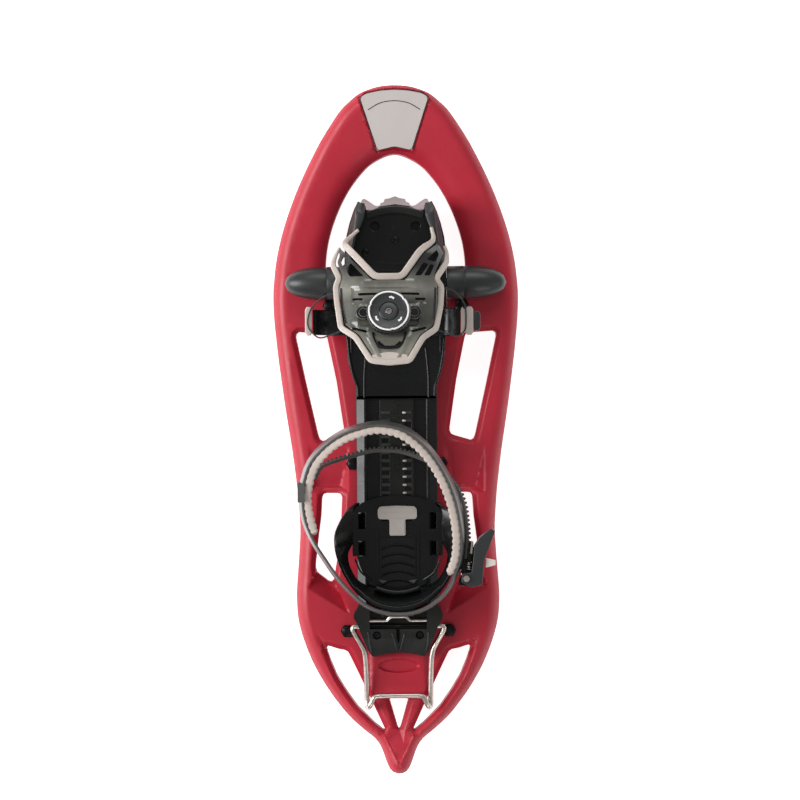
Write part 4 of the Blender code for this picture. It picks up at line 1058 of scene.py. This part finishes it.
def build_rims():
    upper = rim_solid(upper_rim(), 5.7, 4.0)
    lower = merged(rim_solid(lower_rim(), 5.0, 2.4), lens())
    for name, solid in (("upper", upper), ("lower", lower)):
        piece(f"rim_{name}", solid, "beige_rubber", "binding", [f"harness_rim_{name}"], sharp=60)


def lens():
    """Beige lip that fills the lower rim's foot."""
    upper = spline([(-19.5, 63.2), (-5.2, 65.5), (9, 63.2)], 8)
    loop = np.vstack([upper, [(10.4, 58.6), (-5.2, 57.4), (-20.4, 58.8)]])
    return slab(loop, [], lambda p: saddle(p) + 1.7, lambda p: saddle(p) - 1.0)


def band_of(value, half, blur):
    """1 within this half width and 0 outside it, with a soft edge."""
    return soft_step(half - np.abs(value), 0, blur)


def harness_top(spots):
    """Top of the harness: sunk dial bay with lace channels, two pillars, a stepped tongue and a bar."""
    x, y = spots[:, 0] - HARNESS_X, spots[:, 1]
    bay = band_of(x, 31, 1.6) * soft_step(y, 82, 84) * soft_step(119.4 - y, 0, 1.6)
    channel = band_of(y - 106, 1.9, 1.2) + band_of(y - 88, 1.9, 1.2)
    pillar = band_of(np.abs(x) - 27, 4, 1.2) * band_of(y - 96, 11, 2)
    tongue = band_of(x, 13 + (y - 66) * 0.5, 1.6) * soft_step(80 - y, 0, 1.4)
    well = band_of(x, 8.5 + (y - 66) * 0.4, 1.4) * soft_step(76.5 - y, 0, 1.4)
    bar = band_of(y - 123.6, 1.2, 0.8) * band_of(x, 24, 2)
    height = saddle(spots) + 1.2 - 1.3 * bay - 0.9 * channel * bay + 1.2 * pillar
    return height + 0.9 * tongue - 1.6 * well + 0.7 * bar


def harness_windows():
    """Louvres in the wings, slots beside the dial and the slot round the tongue's well."""
    return [
        [(16, 129), (21.4, 129), (27.6, 138.5), (23.4, 140)],
        [(23.6, 129), (28.6, 129), (32.4, 138), (29, 138.6)],
        [(26, 142.4), (33.4, 140.6), (36.4, 147), (34.6, 151)],
        [(-26, 128.6), (-38, 128.6), (-41, 135), (-37, 140)],
        [(-40.4, 140.6), (-44, 137.6), (-45, 141), (-42.4, 145.6)],
        [(-31, 112.4), (-8, 113.4), (-8, 115), (-31, 114.6)],
        [(-4, 113.4), (20, 112.6), (20, 114.6), (-4, 115)],
        [(-36, 108.4), (-27, 108.4), (-27, 110.4), (-36, 110.4)],
        [(16, 108.4), (25, 108.4), (25, 110.4), (16, 110.4)],
        [(-36.5, 84.6), (-24, 81.4), (-23, 83.2), (-36, 86.6)],
        [(12, 83.2), (13, 81.4), (25.6, 84.6), (25, 86.6)],
        [(-15.5, 73.8), (-11.5, 68.4), (1.2, 68.4), (5, 73.8), (3.4, 75), (-1.2, 70.8), (-9.2, 70.8),
         (-14, 75)],
    ]


def build_harness():
    """Harness shell with dark strips along its two sides and round its tongue."""
    outline = [
        (9.6, 61.7), (19.8, 79.6), (30.4, 87), (34.5, 101), (34.7, 121), (31.7, 128), (34.3, 135),
        (40.4, 149), (38.6, 151.6), (35.6, 156.6), (23.6, 147.2), (8.4, 125.2),
        (-19.4, 125.2), (-46.4, 153.4), (-47.4, 149.6), (-45.8, 147.2), (-48.4, 141), (-43.7, 128.5),
        (-46.8, 118), (-41.8, 88.6), (-30, 79.8), (-18.9, 62.3), (-5.2, 60.3),
    ]
    loop = turned_to(spaced(rounded(outline, 1.5), 2.2, True), True)
    holes = [turned_to(spaced(rounded(window, 0.6, 2), 1.6, True), False) for window in harness_windows()]
    grid = kept_inside(lattice(np.arange(-50, 45, 1.5), np.arange(58, 160, 1.5)), [loop, *holes])
    grid = grid[nearest([loop, *holes], grid) > 1.0]
    solid = slab(loop, holes, harness_top, lambda p: saddle(p) - 1.8, grid)
    piece("harness_body", solid, "harness_grey", "binding", ["harness_shell"], sharp=42)
    left = [(-45, 119), (-43.6, 105), (-40.6, 90)]
    right = [(33, 119), (32.2, 105), (31.2, 93)]
    tongue = [(-19.3, 82), (-17, 74), (-12, 69.4), (0.6, 69.4), (5.6, 74), (8.6, 82)]
    strips = []
    for route, width, lift in ((left, 2.4, 1.3), (right, 2.2, 1.3), (tongue, 1.8, 2.0)):
        path = spaced(spline(route, 6), 2.0)
        path = np.column_stack([path, saddle(path) + lift])
        strips.append(swept(path, bar_section(width, 1.0, 0.4, 2)))
    piece("harness_walls", merged(*strips), "black_plastic", "binding", sharp=40)


def dial_frame():
    """Frame of the dial: its +Z is square to the harness ridge."""
    x, y = DIAL
    z = saddle(np.array([DIAL]))[0] + 1.2
    sine, cosine = math.sin(HARNESS_TILT), math.cos(HARNESS_TILT)
    return lambda u, v, w: (x + u, y + v * cosine + w * sine, z - v * sine + w * cosine)


def build_dial():
    """Closure dial: eared base, fluted knob with a white ring and three arrow marks, and its screw."""
    place = dial_frame()
    dressed("dial_base", "black_plastic", 0.5)
    dressed("lace_spool", "black_plastic")
    ears = []
    for side in SIDES:
        for radius in (5.6, 3.6):
            ring = [(u, v, 4.5) for u, v in circle(radius, 28, side * 21.0, 1.5)]
            ears.append(moved(swept(ring, bar_section(0.7, 0.8, 0.25, 2), True), place))
    piece("dial_ears", merged(*ears), "harness_grey", "binding")

    def fluted(angle, radius):
        return radius - 0.45 * (1 - abs(math.cos(18 * angle)) ** 0.6) if radius > 17.9 else radius

    knob = [(2.6, 12.4), (2.6, 10), (13, 10), (13, 4.9), (18.0, 4.9), (18.5, 5.6), (18.7, 7), (18.7, 11.8),
            (18.2, 13.2), (17.2, 14.6), (16.6, 15.0), (15.4, 15.1), (14.8, 14.5), (8.4, 14.2), (7.6, 14.8),
            (7.0, 14.6), (6.4, 12.6)]
    knob = moved(turned(knob, 144, fluted, True), place)
    piece("knob", knob, "black_plastic", "dial", ["dial_knob"], sharp=45)
    face = turned([(7.8, 13.8), (8.2, 14.35), (14.6, 14.6), (15.2, 14.9), (15.3, 14.2)], 72, None, True)
    boss = turned([(3.0, 13.4), (3.2, 14.7), (6.6, 14.9), (7.3, 14.5), (7.4, 13.4)], 48, None, True)
    grip = [block((u, u + 4.4), (v - 0.3, v + 0.3), (14.3, 14.9))
            for u, v in ((-12.6, 5.4), (-12.6, 3.8), (-13, 2.2), (8.6, 4.4), (8.8, 2.8), (8.8, 1.2))]
    piece("knob_face", moved(merged(face, boss, *grip), place), "charcoal_plastic", "dial", sharp=40)

    def notched(angle, radius):
        dip = min(abs((angle - math.radians(a) + math.pi) % (2 * math.pi) - math.pi) for a in (40, 160, 280))
        return radius - 0.9 * max(0.0, 1 - dip / 0.09) ** 2

    ring = [(15.5, 15.0), (16.7, 14.7), (16.9, 15.4), (16.5, 15.95), (15.8, 16.0), (15.4, 15.5)]
    piece("knob_ring", moved(turned(ring, 120, notched, True), place), "dial_white", "dial", ["dial_ring"])
    arrow = [(10.2, -2.2), (12.0, -2.8), (13.0, 0), (12.0, 2.0), (10.8, 1.2), (11.4, -0.4)]
    lift = 0.1
    marks = []
    for angle in (80, 215, 325):
        c, s = math.cos(math.radians(angle)), math.sin(math.radians(angle))
        mark = prism([(u * c - v * s, u * s + v * c) for u, v in arrow], 14.0, 14.75)
        marks.append(moved(moved(mark, place), at(0, 0, lift)))
    piece("knob_arrows", merged(*marks), "dial_white", "dial", bevel=0.15)
    stem = [(0, 1.2), (2, 1.2), (2, 12.7), (2.8, 12.7), (2.8, 14.6), (2.4, 15.0), (1.4, 15.0), (1.1, 14.0),
            (0, 14.0)]
    piece("knob_screw", moved(turned(stem, 40), place), "steel", "dial", ["dial_screw"], sharp=35)


# ---------------------------------------------------------------- heel


def cup_wall():
    """Bowl wall that follows stations of foot and crest round the heel."""
    half = [(31.6, -61.2, 61.4, 34.6, -61.4, 63), (34.6, -67, 61.6, 46, -71.6, 67.4),
            (35.4, -79, 62, 52, -85.4, 77.6), (36.5, -92, 62.4, 51.6, -97, 84),
            (41.8, -104, 65, 48.8, -107.6, 84), (39.6, -116, 68, 44.2, -118.6, 84.6),
            (32, -127, 68, 34.2, -133, 91), (17.6, -133, 64.6, 19, -144, 96.5), (0, -135, 63.6, 0, -148, 98)]
    other = [(-a, b, c, -d, e, f) for a, b, c, d, e, f in reversed(half[:-1])]
    stations = spline(half + other, 6)
    sections = []
    for index, station in enumerate(stations):
        foot, crest = station[:3], station[3:]
        before, after = neighbours(stations[:, 3:], index)
        outward = np.cross(after - before, crest - foot)
        outward /= np.linalg.norm(outward)
        if outward[2] > 0:
            outward = -outward
        edge = (crest - foot) / np.linalg.norm(crest - foot) * 0.9
        thick = outward * 2.6
        sections.append([foot, crest - edge, crest + outward * 0.6, crest + outward * 2.0,
                         crest + thick - edge, foot + thick])
    return lofted(sections)


def build_cup():
    """Heel carrier: floor with square holes on the rails, hooks below, bowl wall with ribs, and a band."""
    floor = mirrored([(0, -54.3), (15, -55.6), (30.6, -60.6), (38.5, -68), (38.5, -92), (35, -104),
                      (31, -118), (24, -129), (12, -136), (0, -138)])
    holes = [[(-13, -65.4), (13, -65.4), (13, -76), (-13, -76)]]
    for side in SIDES:
        for front, rear in ((-69, -83), (-93, -106)):
            holes.append([(side * 27, front), (side * 33, front), (side * 33, rear), (side * 27, rear)])
    base = prism(spaced(rounded(floor, 5.0), 4.0, True), CUP_FLOOR, CUP_TOP, holes)
    hook = [(34.9, 62), (38.3, 62), (38.3, 47.3), (31.6, 47.3), (31.6, 49.4), (34.9, 49.4)]
    hooks = [moved(prism(shape, *ends), edgewise)
             for shape in (hook, flipped(hook)) for ends in ((-90, -70), (-106, -94))]
    piece("cup_floor", merged(base, *hooks), "black_plastic", "heel_carrier", ["heel_cup"], bevel=0.35)
    lines = twin_blocks(17.4, 0.6, (-124, -84), (63.4, 65.4))
    for side in SIDES:
        fin = [(side * 22, -126, 66), (side * 31, -119, 70), (side * 36, -108, 72)]
        lines.append(bead(fin, 5, 1.4, 3.0, 0.5, 2))
    rib = [(-36, -131.6, 90.4), (-20, -143.8, 96), (0, -148.2, 98), (20, -143.8, 96), (36, -131.6, 90.4)]
    lines.append(bead(rib, 8, 3.6, 1.8, 0.7, 3))
    piece("cup_bowl", merged(cup_wall(), *lines), "black_plastic", "heel_carrier", sharp=40)
    route = [(x, -137.6 + 0.012 * x * x, 77.5) for x in np.linspace(-19, 19, 17)]
    band = swept(route, [(1.2, -5.4), (1.8, -5), (-2.6, 6.2), (-3.4, 5.6)])
    piece("cup_band", band, "charcoal_plastic", "heel_carrier")


def build_tongue():
    """Heel tongue with bowed ribs across it, edges along it and a grey wedge at each rear corner, whose
    lighter grey is a painted glint.
    """
    z = CUP_TOP
    outline = mirrored([(0, -90.5), (15.2, -90.5), (15.2, -126), (10, -130.6), (0, -132)])
    ribs = [prism(outline, z + 0.3, z + 1.4)]
    half, pitch = 14, 7.4
    for index in range(5):
        y = -97.5 - pitch * index
        arc = [(x, y + 3.8 * (1 - (x / half) ** 2) - 2.6, z + 1.7) for x in np.linspace(-half, half, 15)]
        ribs.append(swept(arc, [(1.5, -0.8), (0.2, 1.2), (-0.4, 1.2), (-1.1, -0.8)]))
    ribs += twin_blocks(14.3, 0.5, (-128, -91.5), (z + 1, z + 2))
    ribs += twin_blocks(17, 0.8, (-126, -94), (z, z + 1.6))
    piece("tongue", merged(*ribs), "black_plastic", "heel_carrier", ["heel_tongue"], sharp=35)
    # Painted glints: the wedges are grey against the black tongue to stand in for highlights at its rear
    # corners.
    wedge = [(7.6, -127.2), (16.4, -125.6), (12.6, -129.8)]
    wedges = [prism(shape, z, z + 2.6) for shape in (wedge, flipped(wedge))]
    piece("tongue_wedges", merged(*wedges), "strap_grey", "heel_carrier", bevel=0.3)


def build_lock():
    """T-shaped size lock with a rounded head, a thumb step and two teeth."""
    z = CUP_TOP
    shape = [(0, -63.3), (14.6, -63.9), (16.5, -66.5), (16.5, -73), (15, -74.7), (6.8, -74.7), (6.8, -88.6),
             (0, -88.6)]
    stem = [(0, -74.4), (6.0, -74.4), (6.0, -87.8), (0, -87.8)]
    bar = [(0, -64.6), (13.8, -65), (15.2, -67), (15.2, -69), (0, -69)]
    layers = ((shape, 1.4, 0.4, 3.0), (stem, 0.8, 2.6, 3.4), (bar, 1.2, 2.6, 3.4))
    layers = [prism(rounded(mirrored(half), reach), z + under, z + top) for half, reach, under, top in layers]
    teeth = twin_blocks(9.5, 2.4, (-70.6, -68.4), (58.9, 65))
    piece("lock", merged(*layers, *teeth), "lock_grey", "size_lock", ["size_lock"], bevel=0.35)


def raised(points):
    """Points on the strap's middle line, which rises towards the toe."""
    return [(x, y, 89.0 + 0.2 * (y + 155)) for x, y in points]


def build_strap():
    """Band round the cup and over the instep, with a rolled edge."""
    ring = [(0, -153.6), (-15, -151.2), (-28.6, -144.8), (-42.4, -132), (-51.6, -120.8), (-60.4, -107.8),
            (-70.6, -91), (-77.4, -74), (-79.4, -57.3), (-78, -40.7), (-72, -24.4), (-60.6, -11.5),
            (-47.6, -2.4), (-36, 2.4), (-19.4, 6.2), (-4.8, 5.2), (8.6, 0.8), (22.2, -9.8), (33.2, -23),
            (42.2, -38.6), (49, -56), (52.9, -74), (54.4, -91), (53, -107.8), (47.8, -121.4),
            (40.4, -134.6), (28.6, -145.4), (15, -151.8)]
    path = spaced(spline(raised(ring), 8, True), 3.0, True)
    edge = [(-2.7, -11.2), (-2.2, -12), (-0.9, -12), (-0.3, -11.2), (2.4, 11.0), (1.9, 12), (0.5, 12),
            (0.0, 11.0)]
    piece("strap_band", swept(path, edge, True), "strap_grey", "heel_carrier", ["heel_strap"], sharp=50)


def build_pad():
    """Soft pad inside the band, puffed between its grooves."""
    route = [(-69.2, -84), (-72.3, -73), (-74.6, -57.5), (-73, -42.5), (-67.8, -27.4), (-57.4, -15.2),
             (-45.4, -6.6), (-34.6, -2.2), (-19.4, 1.8), (-6, 0.8), (5.6, -3.2), (18.4, -13.2), (29, -26),
             (37.6, -41.2), (44, -57.8), (47.9, -75), (49.4, -91), (48, -106.4), (43.4, -118.8)]
    pitch, segment = 0.9, 6
    thickness, height, corner = 7.6, 24.4, 2.4
    path = spaced(spline(raised(route), 10), pitch)
    last = len(path) - 1

    def section(index):
        puff = 1 - 0.3 * abs(math.cos(math.pi * (index % segment / segment))) ** 5
        ends = min(1.0, 0.5 + 0.1 * min(index, last - index))
        tall = height * (0.97 + 0.03 * puff) * min(1.0, ends + 0.2)
        plain = bar_section(thickness * puff * ends, tall, corner * puff * ends, 4)
        return [(side - 0.9 + 0.12 * up, up) for side, up in plain]

    pad = piece("pad", swept(path, section), "pad_beige", "heel_carrier", ["strap_pad"], sharp=70)


def build_ladder():
    """Toothed strap from the keeper into the buckle; its first stretch has no teeth."""
    route = [(-69.2, -40), (-63.6, -29.9), (-53.5, -25.3), (-39.2, -21.1), (-22.4, -16.8), (-9.8, -16.1),
             (2.6, -17.3), (15.2, -21.1), (27.6, -26.9), (40.2, -36.5), (50, -47.6), (55.6, -62.2),
             (57.7, -77.9), (58.3, -91), (57.7, -101), (56.8, -107)]
    level, pitch, tooth = 89.3, 0.9, 4
    path = spaced(spline([(x, y, level) for x, y in route], 10), pitch)

    def section(index):
        reach = 3.2 if index % tooth in (1, 2) and index > 8 else 1.5
        return [(1.4, -6), (1.9, -5.4), (1.5, 5.4), (1.1, 6), (-0.8, 6), (-1.3, 5.4), (-1.3, 4.8),
                (-reach, 4.4), (-reach, -4.2), (-1.3, -4.4), (-1.3, -5.4), (-0.8, -6)]

    piece("ladder", swept(path, section), "strap_grey", "heel_carrier", ["ladder_strap"], sharp=30)


def build_buckle():
    """Ratchet buckle: its CAD parts, a housing of small blocks and the lever's coil spring."""
    dressed("buckle_base", "black_plastic", 0.4)
    dressed("buckle_pin", "chrome")
    dressed("buckle_pawl", "lock_grey", 0.25)
    dressed("strap_keeper", "strap_grey", 0.5)
    # The release tab's lighter beige is painted light, against the lever's shadow.
    dressed("release_tab", "tab_beige", 0.8, 3)
    dressed("buckle_lever", "charcoal_plastic", 0.9, 3)
    housing = [prism([(52.5, -119.5), (58.6, -119.5), (59.8, -103), (55.4, -101)], 85.6, 89.4)]
    housing += [block(*sides) for sides in (((57.4, 62.2), (-117.6, -99), (87.4, 94.6)),
                                            ((53.6, 60), (-121.4, -117), (87.4, 92)),
                                            ((57.8, 65.4), (-118.6, -97.5), (88.6, 91.4)),
                                            ((59, 63.4), (-99, -93), (88.6, 95)))]
    housing += [block((58.2, 61.6), (-100 - 4.2 * i, -98 - 4.2 * i), (94.4, 96.4)) for i in range(4)]
    piece("buckle_housing", merged(*housing), "black_plastic", "heel_carrier", bevel=0.4)
    x, y = BUCKLE_PIN
    radius, climb = 2.1, 0.32
    coil = [(x + 2.2 + radius * math.cos(a), y + 7 + a * climb, 97.6 + radius * math.sin(a))
            for a in np.linspace(0, 19, 96)]
    spring = swept(coil, circle(0.45, 8), up=(0, 1, 0.1))
    piece("buckle_spring", spring, "chrome", "heel_carrier", sharp=60)


# ---------------------------------------------------------------- fixings


def build_steel():
    """Steel parts, the spikes with their nuts, and the screws."""
    dressed("pivot_axle", "steel")
    dressed("toe_crampon", "steel", 0.3)
    dressed("latch_bar", "dark_steel")
    pin = turned([(0, 0), (0.9, 0.3), (1.3, 1.0), (4.5, 14.6), (5.4, 15.6), (6.6, 16.2), (6.6, 29.6),
                  (7.4, 31.6), (7.4, 34.3), (2.8, 34.3), (2.8, 43), (0, 43)], 32)
    dome = [(0, 0), (4.9, 0), (4.9, 2.2), (4.2, 3.4), (3.3, 3.7), (2.9, 3.2), (2.6, 3.9), (0, 4.1)]
    nut = merged(prism(circle(5.9, 6), 0, 2.4), turned(dome, 32))
    for number, (x, y) in enumerate(spike_places(), 1):
        piece(f"spike_pin_{number}", moved(pin, at(x, y, 0)), "steel", "deck", [f"spike_{number}"], sharp=35)
        place = at(x, y, SEAT)
        piece(f"nut_{number}", moved(nut, place), "dark_steel", "deck", [f"spike_nut_{number}"], bevel=0.25)
    for side in ("left", "right"):
        build_screw(f"block_screw_{side}", "deck")
    for place in ("left", "middle", "right"):
        build_screw(f"toe_screw_{place}", "binding")


def build_screw(node, body):
    """Button-head screw with a star-like socket."""
    x, y = middle(node)[:2]
    bottom, top = low(node)[2], high(node)[2]
    radius = (high(node)[0] - low(node)[0]) / 2

    def socket(angle, r):
        return r * (1 + 0.18 * math.cos(6 * angle)) if r < radius * 0.6 else r

    profile = [(0, bottom), (1.5, bottom), (1.5, top - 1.4), (radius, top - 1.4), (radius, top - 0.6),
               (radius * 0.82, top - 0.1), (radius * 0.6 + 0.1, top), (radius * 0.5, top - 0.1),
               (radius * 0.45, top - 0.9), (0, top - 0.9)]
    head = moved(turned(profile, 36, socket), at(x, y, 0))
    piece(f"{node}_head", head, "dark_steel", body, [node], sharp=35)


# ---------------------------------------------------------------- stage


def area_light(name, place, target, size, power):
    data = bpy.data.lights.new(name, "AREA")
    data.shape = "RECTANGLE"
    data.size, data.size_y = size
    data.energy = power
    light = shown(name, data, place)
    light.rotation_euler = (Vector(target) - Vector(place)).to_track_quat("-Z", "Y").to_euler()


def build_stage():
    """Camera straight above, a pale floor, a broad soft light from the left and weak fills."""
    camera = shown("camera", bpy.data.cameras.new("camera"), (0.003, 0.026, 2.602))
    camera.data.lens = 135
    camera.data.sensor_width = 36
    camera.data.clip_end = 20
    camera.rotation_euler = (0, 0, math.radians(-0.47))
    bpy.context.scene.camera = camera

    half = 12
    corners = [(-half, -half, 0), (half, -half, 0), (half, half, 0), (-half, half, 0)]
    mesh = bpy.data.meshes.new("floor")
    mesh.from_pydata(corners, [], [(0, 1, 2, 3)])
    made, tree, shader = shader_of("floor")
    tone = ramp(tree, noise(tree, 3.0), [(0.3, 0.93), (0.7, 0.95)])
    tree.links.new(tone, shader.inputs["Base Color"])
    preset(shader, {"Roughness": 0.9, "Emission Color": (1, 1, 1, 1), "Emission Strength": 0.85})
    mesh.materials.append(made)
    floor = shown("floor", mesh)

    world = bpy.data.worlds.new("studio")
    world.use_nodes = True
    preset(world.node_tree.nodes["Background"], {"Color": (1, 0.99, 0.98, 1), "Strength": 0.3})
    bpy.context.scene.world = world
    area_light("key", (-1.5, 0.12, 1.05), (0, 0, 0.05), (0.9, 1.3), 34)
    area_light("nose_fill", (0.1, 1.6, 1.3), (0, 0.1, 0.05), (1.2, 0.7), 12)
    area_light("right_rim", (1.6, -0.5, 0.9), (0, -0.1, 0.05), (0.5, 1.2), 1.6)
    area_light("tail_fill", (0.5, -1.6, 1.3), (0, -0.15, 0.05), (1.0, 0.7), 7)
    bpy.context.scene.view_settings.view_transform = "Standard"


MATERIALS = build_materials()
for build in (build_stage, build_deck, build_label, build_pods, build_wires, build_heel_block, build_plate,
              build_scale, build_arms, build_laces, build_rims, build_harness, build_dial, build_cup,
              build_tongue, build_lock, build_strap, build_pad, build_ladder, build_buckle, build_steel):
    build()
